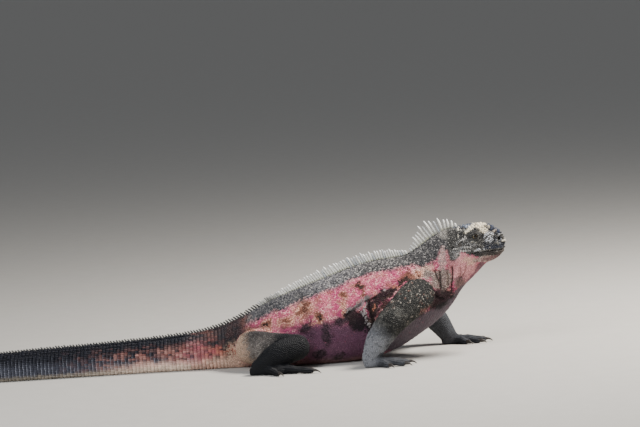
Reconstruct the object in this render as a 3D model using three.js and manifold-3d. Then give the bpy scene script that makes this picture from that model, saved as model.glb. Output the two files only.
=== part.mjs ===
// A marine iguana, life size: an adult male of the red Galapagos race, propped up on its forelegs.
// Millimetres, +Z up. The nose points along +X and the animal's left side is +Y.
// The origin is on the floor under the middle of the belly, on the flat that the animal lies on.
import * as THREE from "three";
import { mergeVertices } from "three/addons/utils/BufferGeometryUtils.js";
import Module from "manifold-3d";

const wasm = await Module();
wasm.setup();

// Driving sizes
const GAP = 0.3; // between neighbouring parts
const FLOOR = 0;
const TAIL_BEND_X = -330; // the tail lies straight as far back as this
const TAIL_BEND_RADIUS = 400; // and then curves to the left
const EYE_RADIUS = 5;
const EYE_OPENING = { length: 8.2, height: 5.8 };

// Stations along the body, from the tail's tip to the snout. Each is a slice through the points back and
// belly [x, z]. half is its greatest half width, at the share level of its height, and the two powers say
// how square the slice is above and below that level: 2 is an ellipse.
const STATIONS = [
  { name: "tip", back: [-590, 4], belly: [-590, 0.4], half: 1.2, level: 0.5, powers: [2, 2] },
  { name: "tailEnd", back: [-562, 11], belly: [-562, -0.4], half: 2.6, level: 0.48, powers: [1.9, 2] },
  { name: "tailThin", back: [-505, 20.5], belly: [-505, -0.6], half: 4.2, level: 0.46, powers: [1.8, 2.1] },
  { name: "tailRear", back: [-425, 29], belly: [-425, -0.8], half: 6, level: 0.45, powers: [1.8, 2.2] },
  { name: "tailMiddle", back: [-335, 34.5], belly: [-335, -1], half: 7.8, level: 0.45, powers: [1.8, 2.2] },
  { name: "tailBlade", back: [-245, 37], belly: [-245, -1], half: 9.8, level: 0.44, powers: [1.8, 2.2] },
  { name: "tailFront", back: [-165, 40], belly: [-164, -1.2], half: 13, level: 0.44, powers: [1.8, 2.3] },
  { name: "tailRoot", back: [-118, 44], belly: [-116, -1.5], half: 17.5, level: 0.43, powers: [1.8, 2.4] },
  { name: "vent", back: [-88, 50.5], belly: [-85, -1.8], half: 22.5, level: 0.43, powers: [1.8, 2.4] },
  { name: "hips", back: [-59, 62], belly: [-52, -2.2], half: 31, level: 0.42, powers: [1.75, 2.5] },
  { name: "loin", back: [-30, 76.5], belly: [-19, -2.6], half: 42, level: 0.4, powers: [1.7, 2.6] },
  { name: "belly", back: [6, 89.5], belly: [18, -3], half: 51, level: 0.4, powers: [1.7, 2.6] },
  { name: "ribs", back: [42, 101.3], belly: [54, -2.6], half: 54, level: 0.41, powers: [1.7, 2.5] },
  { name: "chest", back: [72, 111], belly: [88, 1.6], half: 53, level: 0.43, powers: [1.75, 2.3] },
  { name: "withers", back: [98, 116.6], belly: [119, 11], half: 49, level: 0.45, powers: [1.8, 2.2] },
  { name: "shoulders", back: [120, 118.4], belly: [146, 26], half: 44, level: 0.46, powers: [1.85, 2.1] },
  { name: "breast", back: [138, 122], belly: [169, 41.5], half: 37, level: 0.47, powers: [1.9, 2] },
  { name: "neckBase", back: [153, 130.5], belly: [186, 58], half: 31, level: 0.49, powers: [1.95, 2] },
  { name: "neck", back: [167, 139.5], belly: [200.8, 78], half: 27.5, level: 0.5, powers: [2, 2] },
  { name: "nape", back: [180, 146.5], belly: [214.5, 90.8], half: 26, level: 0.5, powers: [2.1, 2] },
  { name: "occiput", back: [191, 149.6], belly: [224.5, 100.2], half: 25.8, level: 0.47, powers: [2.3, 2] },
  { name: "jowls", back: [201, 150.6], belly: [231, 106.2], half: 25.6, level: 0.44, powers: [2.5, 2] },
  { name: "cheeks", back: [213, 150.8], belly: [237, 108.2], half: 23.6, level: 0.43, powers: [2.6, 2] },
  { name: "brow", back: [226, 150.8], belly: [242, 110.2], half: 20.8, level: 0.42, powers: [2.6, 2.1] },
  { name: "muzzle", back: [238, 148], belly: [246.4, 113], half: 17.6, level: 0.42, powers: [2.5, 2.2] },
  { name: "nose", back: [247.4, 141.4], belly: [250.2, 116.6], half: 13.4, level: 0.44, powers: [2.4, 2.3] },
  { name: "snout", back: [252.2, 134], belly: [253, 121], half: 7.6, level: 0.47, powers: [2.3, 2.3] },
];
const STATION = Object.fromEntries(STATIONS.map((s, i) => [s.name, i]));

// The lengths that the body is divided into, each from one station to another.
const LENGTHS = [
  { name: "tail_tip", from: "tip", to: "tailRear", sides: 10, rings: 12, tip: true },
  { name: "tail_blade", from: "tailRear", to: "tailBlade", sides: 12, rings: 9 },
  { name: "tail_root", from: "tailBlade", to: "vent", sides: 14, rings: 11 },
  { name: "torso", from: "vent", to: "neckBase", sides: 26, rings: 22 },
  { name: "neck", from: "neckBase", to: "nape", sides: 26, rings: 6 },
  { name: "head", from: "nape", to: "snout", sides: 28, rings: 16, snout: true },
];

// The crest: rows of spines along the back line, between two places given by the back line's own x. Heights
// run evenly along each row, and lean is the angle by which a spine tilts back from the skin's normal.
const CREST = [
  { from: -580, to: -430, pitch: 9, lean: 30, heights: [1.2, 2.2, 2.8, 3] },
  { from: -420, to: -44, pitch: 8, lean: 24, heights: [3, 3.4, 3.6, 3.8, 4.6, 5.6, 6.2] },
  {
    from: -38, to: 137, pitch: 4.4, lean: 12,
    heights: [7.8, 7.5, 8.8, 10.4, 11.8, 12.3, 12.3, 12.2, 11.2, 6.4],
  },
  {
    from: 143.5, to: 197, pitch: 4.5, lean: 3,
    heights: [5.5, 9, 14, 17.8, 19.4, 19.8, 18, 14.5, 10.5, 5.5],
  },
];
// A spine's length and thickness at its root, how deep the root is sunk, how far it keeps from a cut between
// two parts, and the height from which its outline is bent once more.
const SPINE = { length: 3.5, thickness: 2.2, sunk: 2.2, clear: 0.9, tall: 13 };

// Limbs: the middle of each joint [x, y, z] and the limb's radius there. The first point lies inside the body
// and bend is the one at the elbow or knee. heading turns the foot to the left, in degrees.
const LIMBS = [
  {
    side: "right", kind: "fore", parts: ["upper_arm_right", "forearm_right"], bend: 3, heading: 2,
    joints: [
      { at: [150, -14, 80], r: 20 }, { at: [144, -38, 75], r: 20 }, { at: [129, -62, 65], r: 18.3 },
      { at: [109, -80, 49], r: 16 }, { at: [94, -85, 30], r: 13.8 }, { at: [84, -87, 11], r: 9.8 },
    ],
  },
  {
    side: "left", kind: "fore", parts: ["upper_arm_left", "forearm_left"], bend: 3, heading: -4,
    joints: [
      { at: [152, 14, 80], r: 20 }, { at: [149, 38, 75], r: 20 }, { at: [149, 62, 65], r: 18 },
      { at: [156, 84, 48], r: 15.6 }, { at: [171, 86, 29], r: 13.6 }, { at: [183, 83, 11], r: 10 },
    ],
  },
  {
    side: "right", kind: "hind", parts: ["thigh_right", "shank_right"], bend: 3, heading: -6,
    joints: [
      { at: [-62, -4, 25], r: 19 }, { at: [-54, -28, 25], r: 20 }, { at: [-32, -53, 26], r: 18 },
      { at: [-2, -74, 27.5], r: 14.8 }, { at: [-26, -86, 20.5], r: 14.4 }, { at: [-48, -92, 9], r: 9 },
    ],
  },
  {
    side: "left", kind: "hind", parts: ["thigh_left", "shank_left"], bend: 3, heading: 28,
    joints: [
      { at: [-62, 4, 25], r: 19 }, { at: [-56, 29, 25], r: 20 }, { at: [-41, 58, 26], r: 18 },
      { at: [-17, 82, 27.5], r: 14.8 }, { at: [-43, 96, 20.5], r: 14.4 }, { at: [-67, 106, 9], r: 9 },
    ],
  },
];

// Feet, in their own frame: x runs along the heading from the wrist or ankle and y towards the body.
// Each digit starts at root and lies at an angle to the heading, turned towards the body.
const FEET = {
  fore: {
    palm: { length: 22, half: 12.5, height: 11 },
    claw: 9.5,
    digits: [
      { root: [13, 8], angle: 40, length: 13 },
      { root: [19, 6], angle: 17, length: 20 },
      { root: [21, 1], angle: -3, length: 24 },
      { root: [18, -5], angle: -23, length: 23 },
      { root: [11, -8], angle: -54, length: 16 },
    ],
  },
  hind: {
    palm: { length: 30, half: 11, height: 11 },
    claw: 11,
    digits: [
      { root: [20, 7], angle: 30, length: 13 },
      { root: [26, 5], angle: 14, length: 20 },
      { root: [29, 1], angle: 1, length: 29 },
      { root: [27, -4], angle: -12, length: 38 },
      { root: [12, -7], angle: -50, length: 21 },
    ],
  },
};
const SOLE = -1.2; // the palm's lowest line, which the floor flattens
// The palm's slices, from the heel to the knuckles, as shares of its length, half width and height.
const PALM = [
  { x: -0.36, half: 0.42, top: 0.62 },
  { x: -0.17, half: 0.72, top: 0.92 },
  { x: 0.25, half: 0.84, top: 1.02 },
  { x: 0.6, half: 0.98, top: 0.92 },
  { x: 0.92, half: 0.96, top: 0.78 },
  { x: 1.08, half: 0.7, top: 0.58 },
];
// A digit's middle line and radii: run is a share of its length, z the height over the floor.
const DIGIT = [
  { run: -0.15, z: 5.4, r: 4.1 },
  { run: 0.35, z: 5.2, r: 3.5 },
  { run: 0.75, z: 3.2, r: 3 },
  { run: 1, z: 2.6, r: 2.7 },
];
// A claw's middle line and radii: run is a share of its length, from the digit's end.
const CLAW = [
  { run: -0.2, z: 2.9, r: 2 },
  { run: 0.35, z: 3.9, r: 1.5 },
  { run: 0.7, z: 2.9, r: 0.9 },
];
const CLAW_TIP_Z = 0.4;

// The face, on the right side [x, y, z]. The left side mirrors it.
const EYE = [218.4, -18.6, 139.8];
const LIDS = [8.6, 5.9, 6.8]; // half sizes of the lids' swelling round the eye
const BROW = {
  steps: [[-14, 1.1, 5.4], [-6, -1, 6.9], [4, -0.2, 7.1], [13.5, 3.1, 5.4]], // from the eye's middle
  radii: [1.2, 2.8, 3, 1],
};
const EAR = { at: [200.5, -25.2, 130], half: [3.4, 4.4], depth: 1.6, drum: 0.5 };
const NOSTRIL = {
  at: [247.6, -8.8, 134.6],
  rim: [3.2, 2.8, 3],
  steps: [[-1.6, 2.6, -1.4], [0.6, -1.6, 0.5], [2.4, -5, 2.2]], // the hole's middle line, from within
  radii: [0.7, 1.5, 2.2],
};
// The mouth's line [x, z], from the corner to the front.
const MOUTH = [[209, 118.6], [216, 120.4], [226, 121.4], [238, 121.7], [255, 121.6]];
const MOUTH_FRONT_X = 253.6;
const GROOVE = { inside: 1.4, outside: 3, half: 0.45 };
const LIP = {
  xs: [214, 221, 228, 235, 241.5, 246.5],
  radii: [0.9, 1.7, 1.8, 1.7, 1.6, 0.9],
  sunk: 0.9, // how deep the roll's middle lies in the skin
  off: 2, // how far it lies above or below the mouth
};

// The knobs across the crown, brow and snout: the station that a row is at or behind, how many it has, their
// size, and how far round the head the row reaches to each side, in radians.
const KNOBS = [
  { place: "occiput", shift: 0.3, count: 4, radius: 1.9, height: 1.6, spread: 0.8 },
  { place: "jowls", shift: 0.15, count: 5, radius: 2, height: 1.8, spread: 0.95 },
  { place: "jowls", shift: 0.65, count: 4, radius: 2.1, height: 2, spread: 0.8 },
  { place: "cheeks", shift: 0.15, count: 5, radius: 2.2, height: 2.4, spread: 0.95 },
  { place: "cheeks", shift: 0.62, count: 4, radius: 2.4, height: 3, spread: 0.85 },
  { place: "brow", shift: 0.1, count: 5, radius: 2.5, height: 3.2, spread: 1 },
  { place: "brow", shift: 0.62, count: 4, radius: 2.4, height: 3, spread: 0.85 },
  { place: "muzzle", shift: 0.2, count: 5, radius: 2.2, height: 2.6, spread: 1.1 },
  { place: "muzzle", shift: 0.8, count: 4, radius: 2, height: 2.2, spread: 0.9 },
  { place: "nose", shift: 0.5, count: 3, radius: 1.9, height: 1.8, spread: 0.8 },
];
const KNOB = { sunk: 1.4, shoulder: 0.6, taper: 0.7, wave: 0.16 };

const DEG = Math.PI / 180;

// Solids and geometries

function solidOf(geometry) {
  const bare = new THREE.BufferGeometry().setAttribute("position", geometry.getAttribute("position"));
  bare.setIndex(geometry.index);
  const merged = mergeVertices(bare, 1e-4);
  return new wasm.Manifold(
    new wasm.Mesh({
      numProp: 3,
      vertProperties: merged.attributes.position.array,
      triVerts: new Uint32Array(merged.index.array),
    }),
  );
}

// Only the largest closed surface of a solid, so that a hollow that joining seals is filled.
function largestOf(solid) {
  const size = (piece) => piece.volume();
  return solid.decompose().reduce((best, piece) => (size(piece) > size(best) ? piece : best));
}

function geometryOf(solid) {
  const { numProp, numVert, vertProperties, triVerts } = solid.getMesh();
  const positions = new Float32Array(numVert * 3);
  for (let i = 0; i < numVert; i++) {
    positions.set(vertProperties.subarray(i * numProp, i * numProp + 3), i * 3);
  }
  const geometry = new THREE.BufferGeometry();
  geometry.setAttribute("position", new THREE.BufferAttribute(positions, 3));
  geometry.setIndex(new THREE.BufferAttribute(new Uint32Array(triVerts), 1));
  return geometry;
}

const join = (solids) => largestOf(solids.reduce((all, one) => all.add(one)));

// A closed skin over rings of points. Every ring has the same number of points, and each end is closed
// by a fan round the ring's middle, or round the point given as its tip.
function loft(rings, { startTip, endTip } = {}) {
  const sides = rings[0].length;
  const middle = (ring) => ring.reduce((sum, p) => sum.add(p), new THREE.Vector3()).divideScalar(sides);
  const points = rings.flat();
  const start = points.push(startTip ?? middle(rings[0])) - 1;
  const end = points.push(endTip ?? middle(rings.at(-1))) - 1;
  const faces = [];
  for (let k = 0; k < sides; k++) {
    const next = (k + 1) % sides;
    faces.push(start, next, k);
    const last = (rings.length - 1) * sides;
    faces.push(end, last + k, last + next);
    for (let i = 0; i < rings.length - 1; i++) {
      const [a, b] = [i * sides, (i + 1) * sides];
      faces.push(a + k, a + next, b + next, a + k, b + next, b + k);
    }
  }
  const geometry = new THREE.BufferGeometry().setFromPoints(points);
  geometry.setIndex(faces);
  const solid = solidOf(geometry);
  return solid.volume() < 0 ? solidOf(flipped(geometry)) : solid;
}

function flipped(geometry) {
  const index = [...geometry.index.array];
  for (let i = 0; i < index.length; i += 3) {
    [index[i + 1], index[i + 2]] = [index[i + 2], index[i + 1]];
  }
  return geometry.clone().setIndex(index);
}

const mirrored = (solid) => solid.mirror([0, 1, 0]);

// The value of a smooth curve through the given numbers, at a place counted in numbers from the first.
function smooth(values, place) {
  const last = values.length - 1;
  const i = Math.min(Math.max(Math.floor(place), 0), last - 1);
  const t = place - i;
  const [b, c] = [values[i], values[i + 1]];
  const a = values[i - 1] ?? 2 * b - c;
  const d = values[i + 2] ?? 2 * c - b;
  return b + 0.5 * t * (c - a + t * (2 * a - 5 * b + 4 * c - d + t * (3 * (b - c) + d - a)));
}

// The body

const stationCurve = (pick) => {
  const values = STATIONS.map(pick);
  return (place) => smooth(values, place);
};
const CURVES = {
  backX: stationCurve((s) => s.back[0]),
  backZ: stationCurve((s) => s.back[1]),
  bellyX: stationCurve((s) => s.belly[0]),
  bellyZ: stationCurve((s) => s.belly[1]),
  half: stationCurve((s) => s.half),
  level: stationCurve((s) => s.level),
  above: stationCurve((s) => s.powers[0]),
  below: stationCurve((s) => s.powers[1]),
};

// The hind part of the tail curves to the left on the floor.
function bentTail(point) {
  if (point.x >= TAIL_BEND_X) return point;
  const turn = (TAIL_BEND_X - point.x) / TAIL_BEND_RADIUS;
  const radius = TAIL_BEND_RADIUS - point.y;
  return point.set(TAIL_BEND_X - radius * Math.sin(turn), TAIL_BEND_RADIUS - radius * Math.cos(turn), point.z);
}

const onFloor = (point) => point.setZ(Math.max(point.z, FLOOR));

// A point of the body's skin. around is 0 on the back line and turns through the left side to the belly
// at half a turn. grow moves the skin out, and shift moves the slice towards the head.
function bodyPoint(place, around, { grow = 0, shift = 0 } = {}) {
  const back = new THREE.Vector3(CURVES.backX(place), 0, CURVES.backZ(place));
  const belly = new THREE.Vector3(CURVES.bellyX(place), 0, CURVES.bellyZ(place));
  const up = back.clone().sub(belly);
  const height = up.length();
  up.normalize();
  const forward = new THREE.Vector3(up.z, 0, -up.x);
  const level = CURVES.level(place) * height;
  const [c, s] = [Math.cos(around), Math.sin(around)];
  const power = c > 0 ? CURVES.above(place) : CURVES.below(place);
  const reach = (c > 0 ? height - level : level) + grow;
  const across = (CURVES.half(place) + grow) * Math.sign(s) * Math.abs(s) ** (2 / power);
  const rise = level + reach * Math.sign(c) * Math.abs(c) ** (2 / power);
  const point = belly.addScaledVector(up, rise).addScaledVector(forward, shift);
  point.y = across;
  return bentTail(point);
}

function bodyRing(place, sides, options) {
  return Array.from({ length: sides }, (_, k) =>
    onFloor(bodyPoint(place, (k / sides) * 2 * Math.PI, options)),
  );
}

function bodyLength({ from, to, sides, rings, tip, snout }, grow = 0) {
  const [first, last] = [STATION[from], STATION[to]];
  const made = [];
  for (let i = 0; i <= rings; i++) {
    const place = first + ((last - first) * i) / rings;
    const shift = i === 0 && !tip ? GAP / 2 : i === rings && !snout ? -GAP / 2 : 0;
    made.push(bodyRing(place, sides, { grow, shift }));
  }
  const tips = {};
  if (tip) tips.startTip = bentTail(new THREE.Vector3(CURVES.backX(first) - 3, 0, 1.6));
  if (snout) tips.endTip = new THREE.Vector3(254.4, 0, 127.4);
  return loft(made, tips);
}

// A spine of the crest: a curved, flattened blade that leans back.
function spine(place, height, lean) {
  const root = bodyPoint(place, 0);
  const along = bodyPoint(place + 0.02, 0).sub(root).normalize();
  const across = new THREE.Vector3(0, 1, 0).addScaledVector(along, -along.y).normalize();
  const out = new THREE.Vector3().crossVectors(along, across);
  const half = { long: SPINE.length / 2, thick: SPINE.thickness / 2 };
  const levels = [{ up: -SPINE.sunk, size: 1 }];
  if (height > SPINE.tall) levels.push({ up: height * 0.42, size: 0.8 });
  levels.push({ up: height * 0.82, size: 0.52 });
  const leaned = (up) => Math.tan(lean * DEG) * Math.max(up, 0) * (0.6 + (0.7 * up) / height);
  const rings = levels.map(({ up, size }) => {
    const middle = root.clone().addScaledVector(out, up).addScaledVector(along, -leaned(up));
    return [[1, 0], [0, 1], [-1, 0], [0, -1]].map(([l, t]) =>
      middle
        .clone()
        .addScaledVector(along, l * half.long * size)
        .addScaledVector(across, t * half.thick * size),
    );
  });
  const tip = root.clone().addScaledVector(out, height).addScaledVector(along, -leaned(height));
  return loft(rings, { endTip: tip });
}

// The back line as a run of small steps: the place and the length of line up to it.
const BACK_LINE = [{ place: 0, run: 0 }];
for (let place = 0.005; place < STATION.cheeks; place += 0.005) {
  const last = BACK_LINE.at(-1);
  const step = bodyPoint(place, 0).distanceTo(bodyPoint(last.place, 0));
  BACK_LINE.push({ place, run: last.run + step });
}
const runToX = (x) => BACK_LINE.find(({ place }) => CURVES.backX(place) >= x).run;
const placeAtRun = (run) => BACK_LINE.find((step) => step.run >= run).place;

// The spines of a row that stand on one length of the body, each a little clear of that length's ends.
function crestRow(row, { from, to, tip, snout }) {
  const clear = SPINE.length / 2 + SPINE.clear;
  const edge = (name) => BACK_LINE.find(({ place }) => place >= STATION[name])?.run ?? Infinity;
  const [low, high] = [tip ? -Infinity : edge(from), snout ? Infinity : edge(to)];
  const [first, last] = [runToX(row.from), runToX(row.to)];
  const count = Math.round((last - first) / row.pitch);
  const spines = [];
  for (let i = 0; i <= count; i++) {
    const run = first + ((last - first) * i) / count;
    if (run < low || run > high) continue;
    const wave = 1 + 0.07 * Math.sin(i * 2.4); // no two neighbours are the same height
    const height = smooth(row.heights, (i / count) * (row.heights.length - 1)) * wave;
    const place = placeAtRun(Math.min(Math.max(run, low + clear), high - clear));
    spines.push(spine(place, height, row.lean));
  }
  return spines;
}

const crestOn = (length) => CREST.flatMap((row) => crestRow(row, length));

// Limbs

const vector = (p) => new THREE.Vector3(...p);

// A round bar along a smooth curve through the given points, thicker or thinner from point to point.
// An end in domes is closed by half a ball.
function bar(points, radii, { sides, rings, grow = 0, domes = [], tip }) {
  const curve = new THREE.CatmullRomCurve3(points);
  const { normals, binormals, tangents } = curve.computeFrenetFrames(rings, false);
  const circle = (middle, i, radius) =>
    Array.from({ length: sides }, (_, k) => {
      const turn = (k / sides) * 2 * Math.PI;
      return middle
        .clone()
        .addScaledVector(normals[i], Math.cos(turn) * radius)
        .addScaledVector(binormals[i], Math.sin(turn) * radius);
    });
  const dome = (end, i, away, radius) =>
    [30, 60].map((rise) => {
      const middle = end.clone().addScaledVector(away, radius * Math.sin(rise * DEG));
      return circle(middle, i, radius * Math.cos(rise * DEG));
    });
  const made = [];
  for (let i = 0; i <= rings; i++) {
    const radius = smooth(radii, curve.getUtoTmapping(i / rings) * (radii.length - 1)) + grow;
    made.push(circle(curve.getPointAt(i / rings), i, radius));
  }
  const tips = { endTip: tip };
  if (domes.includes("end")) {
    const [away, radius] = [tangents.at(-1), radii.at(-1) + grow];
    made.push(...dome(points.at(-1), rings, away, radius));
    tips.endTip = points.at(-1).clone().addScaledVector(away, radius);
  }
  if (domes.includes("start")) {
    const [away, radius] = [tangents[0].clone().negate(), radii[0] + grow];
    made.unshift(...dome(points[0], 0, away, radius).reverse());
    tips.startTip = points[0].clone().addScaledVector(away, radius);
  }
  made.forEach((ring) => ring.forEach(onFloor));
  return loft(made, tips);
}

// The upper and lower lengths of a limb, with the elbow or knee between them parted by a thin cut that
// halves the bend.
function limbLengths({ joints, bend }) {
  const points = joints.map((j) => vector(j.at));
  const radii = joints.map((j) => j.r);
  const size = { sides: 12, rings: 5 };
  const upper = bar(points.slice(0, bend + 1), radii.slice(0, bend + 1), { ...size, domes: ["end"] });
  const lower = bar(points.slice(bend), radii.slice(bend), { ...size, domes: ["start"] });
  const before = points[bend].clone().sub(points[bend - 1]).normalize();
  const after = points[bend + 1].clone().sub(points[bend]).normalize();
  const normal = before.add(after).normalize();
  const offset = normal.dot(points[bend]);
  return {
    upper: upper.trimByPlane(normal.clone().negate().toArray(), -offset + GAP / 2),
    lower: lower.trimByPlane(normal.toArray(), offset + GAP / 2),
  };
}

// A point of a foot's own frame, set on the floor under its wrist or ankle.
function footPlace(limb) {
  const [x, y] = limb.joints.at(-1).at;
  const turn = limb.heading * DEG;
  const inward = limb.side === "right" ? 1 : -1;
  return ([forward, side, z]) =>
    new THREE.Vector3(
      x + forward * Math.cos(turn) - side * inward * Math.sin(turn),
      y + forward * Math.sin(turn) + side * inward * Math.cos(turn),
      z,
    );
}

function palm(limb, grow) {
  const place = footPlace(limb);
  const size = FEET[limb.kind].palm;
  const sides = 12;
  const rings = PALM.map(({ x, half, top }) => {
    const middle = (top * size.height + SOLE) / 2;
    const rise = (top * size.height - SOLE) / 2 + grow;
    return Array.from({ length: sides }, (_, k) => {
      const turn = (k / sides) * 2 * Math.PI;
      const across = Math.sin(turn) * (half * size.half + grow);
      return onFloor(place([x * size.length, across, middle + Math.cos(turn) * rise]));
    });
  });
  return loft(rings);
}

// A digit with its claw, lying along the floor from its knuckle.
function digit(limb, { root, angle, length }, grow) {
  const place = footPlace(limb);
  const [forward, inward] = [Math.cos(angle * DEG), Math.sin(angle * DEG)];
  const along = (run, z) => place([root[0] + run * forward, root[1] + run * inward, z]);
  const claw = FEET[limb.kind].claw;
  const end = DIGIT.at(-1);
  const toe = bar(
    DIGIT.map(({ run, z }) => along(run * length, z)),
    DIGIT.map(({ r }) => r),
    { sides: 7, rings: 3, grow, tip: along(length + end.r * 0.8, end.z) },
  );
  const nail = bar(
    CLAW.map(({ run, z }) => along(length + run * claw, z)),
    CLAW.map(({ r }) => r),
    { sides: 5, rings: 2, grow, tip: along(length + claw, CLAW_TIP_Z) },
  );
  return [toe, nail];
}

function foot(limb, grow = 0) {
  return join([palm(limb, grow), ...FEET[limb.kind].digits.flatMap((d) => digit(limb, d, grow))]);
}

// The head

// The point of the head's right side that has the given x and z, found by Newton's steps.
function cheek(x, z) {
  const step = 1e-4;
  const eased = 0.6; // share of a whole step, so that the search stays steady
  const miss = (place, around) => {
    const point = bodyPoint(place, around);
    return [point.x - x, point.z - z];
  };
  let [place, around] = [STATION.cheeks, -Math.PI / 2];
  for (let i = 0; i < 30; i++) {
    const now = miss(place, around);
    const byPlace = miss(place + step, around).map((v, k) => (v - now[k]) / step);
    const byTurn = miss(place, around + step).map((v, k) => (v - now[k]) / step);
    const det = byPlace[0] * byTurn[1] - byTurn[0] * byPlace[1];
    place -= (eased * (now[0] * byTurn[1] - now[1] * byTurn[0])) / det;
    around -= (eased * (now[1] * byPlace[0] - now[0] * byPlace[1])) / det;
    place = Math.min(Math.max(place, STATION.neck), STATION.snout);
    around = Math.min(Math.max(around, -3), -0.2);
  }
  return bodyPoint(place, around);
}

function ball(at, radii, sides) {
  const sphere = new THREE.SphereGeometry(1, sides, Math.round(sides * 0.7));
  return solidOf(sphere.scale(...radii).translate(...at));
}

// The bar whose middle line goes by steps from a point of the face.
function ridge(at, { steps, radii }, size) {
  return bar(steps.map((step) => vector(at).add(vector(step))), radii, size);
}

// The eye's opening between the lids, an almond cut through from the side.
function eyeOpening() {
  const [half, height] = [EYE_OPENING.length / 2, EYE_OPENING.height];
  const almond = new THREE.Shape();
  almond.moveTo(-half, -0.4);
  almond.quadraticCurveTo(-0.5, height, half, 0.2);
  almond.quadraticCurveTo(0.4, -height, -half, -0.4);
  const cut = new THREE.ExtrudeGeometry(almond, { depth: 12, bevelEnabled: false, curveSegments: 4 });
  return solidOf(cut.rotateX(Math.PI / 2).translate(...EYE));
}

// The mouth's height at an x.
const MOUTH_LINE = new THREE.SplineCurve(MOUTH.map((p) => new THREE.Vector2(...p))).getPoints(60);
const mouthZ = (x) => MOUTH_LINE.reduce((a, b) => (Math.abs(b.x - x) < Math.abs(a.x - x) ? b : a)).y;

// The groove between the lips: a thin ribbon round the snout, half in the skin and half out of it.
function mouthGroove() {
  const side = [213, 219, 226, 233, 240, 246, 250].map((x) => cheek(x, mouthZ(x)));
  const front = new THREE.Vector3(MOUTH_FRONT_X, 0, mouthZ(MOUTH_FRONT_X));
  const path = [...side, front, ...side.toReversed().map((p) => p.clone().setY(-p.y))];
  const corners = [
    [-GROOVE.inside, -GROOVE.half],
    [GROOVE.outside, -GROOVE.half],
    [GROOVE.outside, GROOVE.half],
    [-GROOVE.inside, GROOVE.half],
  ];
  const rings = path.map((point, i) => {
    const along = path[Math.min(i + 1, path.length - 1)].clone().sub(path[Math.max(i - 1, 0)]);
    const out = new THREE.Vector3(along.y, -along.x, 0).normalize();
    return corners.map(([o, up]) => point.clone().addScaledVector(out, o).add(new THREE.Vector3(0, 0, up)));
  });
  return loft(rings);
}

// A lip is a low roll along the mouth, above or below it.
function lip(offset) {
  const points = LIP.xs.map((x) => {
    const point = cheek(x, mouthZ(x) + offset);
    return point.setY(point.y + LIP.sunk);
  });
  return bar(points, LIP.radii, { sides: 5, rings: 6 });
}

// A blunt cone standing on the head.
function knob(at, around, radius, height) {
  const root = bodyPoint(at, around);
  const along = bodyPoint(at + 0.01, around).sub(root);
  const side = bodyPoint(at, around + 0.01).sub(root);
  const out = new THREE.Vector3().crossVectors(along, side).normalize();
  const inside = new THREE.Vector3(EYE[0], 0, MOUTH[0][1]);
  if (out.dot(root.clone().sub(inside)) < 0) out.negate();
  const up = (rise) => root.clone().addScaledVector(out, rise);
  const middle = [up(-KNOB.sunk), up(height * KNOB.shoulder)];
  return bar(middle, [radius, radius * KNOB.taper], { sides: 5, rings: 1, tip: up(height) });
}

const knobs = () =>
  KNOBS.flatMap(({ place, shift, count, radius, height, spread }) =>
    Array.from({ length: count }, (_, i) => {
      const around = spread * ((2 * i) / (count - 1) - 1);
      const at = STATION[place] + shift;
      const size = 1 + KNOB.wave * Math.sin(i * 3.7 + at * 5); // no two neighbours are alike
      return knob(at, around, radius * size, height * size);
    }),
  );

const lengthOf = (name) => LENGTHS.find((length) => length.name === name);

function head() {
  const length = lengthOf("head");
  const lids = ball(EYE, LIDS, 14);
  const brow = ridge(EYE, BROW, { sides: 7, rings: 5 });
  const raised = [lids, brow, ball(NOSTRIL.at, NOSTRIL.rim, 8), lip(LIP.off), lip(-LIP.off)];
  const socket = ball(EYE, [1, 1, 1].map(() => EYE_RADIUS + GAP), 12);
  const ear = ball(EAR.at, [EAR.half[0], EAR.depth, EAR.half[1]], 10);
  const nostril = ridge(NOSTRIL.at, NOSTRIL, { sides: 6, rings: 2 });
  const sunk = [socket, eyeOpening(), ear, nostril];
  const whole = join([bodyLength(length), ...raised, ...raised.map(mirrored), ...knobs(), ...crestOn(length)]);
  const cuts = [mouthGroove(), ...sunk, ...sunk.map(mirrored)];
  return largestOf(cuts.reduce((all, cut) => all.subtract(cut), whole));
}

// The eardrum lies in the bottom of the ear's cup.
function eardrum() {
  const [x, y, z] = EAR.at;
  const drum = ball(EAR.at, [EAR.half[0] - GAP, EAR.depth - GAP, EAR.half[1] - GAP], 10);
  const outside = new THREE.BoxGeometry(20, 10, 20).translate(x, y - 5 + EAR.drum, z);
  return drum.subtract(solidOf(outside));
}

// The whole animal

const skin = (color) => new THREE.MeshStandardMaterial({ color, roughness: 0.85, metalness: 0 });
const SKINS = {
  tail: skin(0x3a3532),
  torso: skin(0x8e4a4c),
  neck: skin(0x8a5652),
  head: skin(0x464543),
  leg: skin(0x4a4945),
  foot: skin(0x2f3034),
  eardrum: skin(0x5a5650),
  eye: new THREE.MeshStandardMaterial({ color: 0x1c1512, roughness: 0.15, metalness: 0 }),
};
SKINS.tail_tip = SKINS.tail;
SKINS.tail_blade = SKINS.tail;
SKINS.tail_root = SKINS.tail;

const iguana = new THREE.Group();

function show(name, solid, material) {
  const mesh = new THREE.Mesh(geometryOf(solid), material);
  mesh.name = name;
  iguana.add(mesh);
}

for (const length of LENGTHS) {
  const solid = length.name === "head" ? head() : join([bodyLength(length), ...crestOn(length)]);
  show(length.name, solid, SKINS[length.name]);
}

const trunk = ["tail_root", "torso", "neck"].map((name) => bodyLength(lengthOf(name), GAP));
for (const limb of LIMBS) {
  const [upperName, lowerName] = limb.parts;
  const { upper, lower } = limbLengths(limb);
  show(upperName, largestOf(trunk.reduce((all, cut) => all.subtract(cut), upper)), SKINS.leg);
  show(lowerName, largestOf(lower.subtract(foot(limb, GAP))), SKINS.leg);
  show(`${limb.kind}foot_${limb.side}`, foot(limb), SKINS.foot);
}

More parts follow.
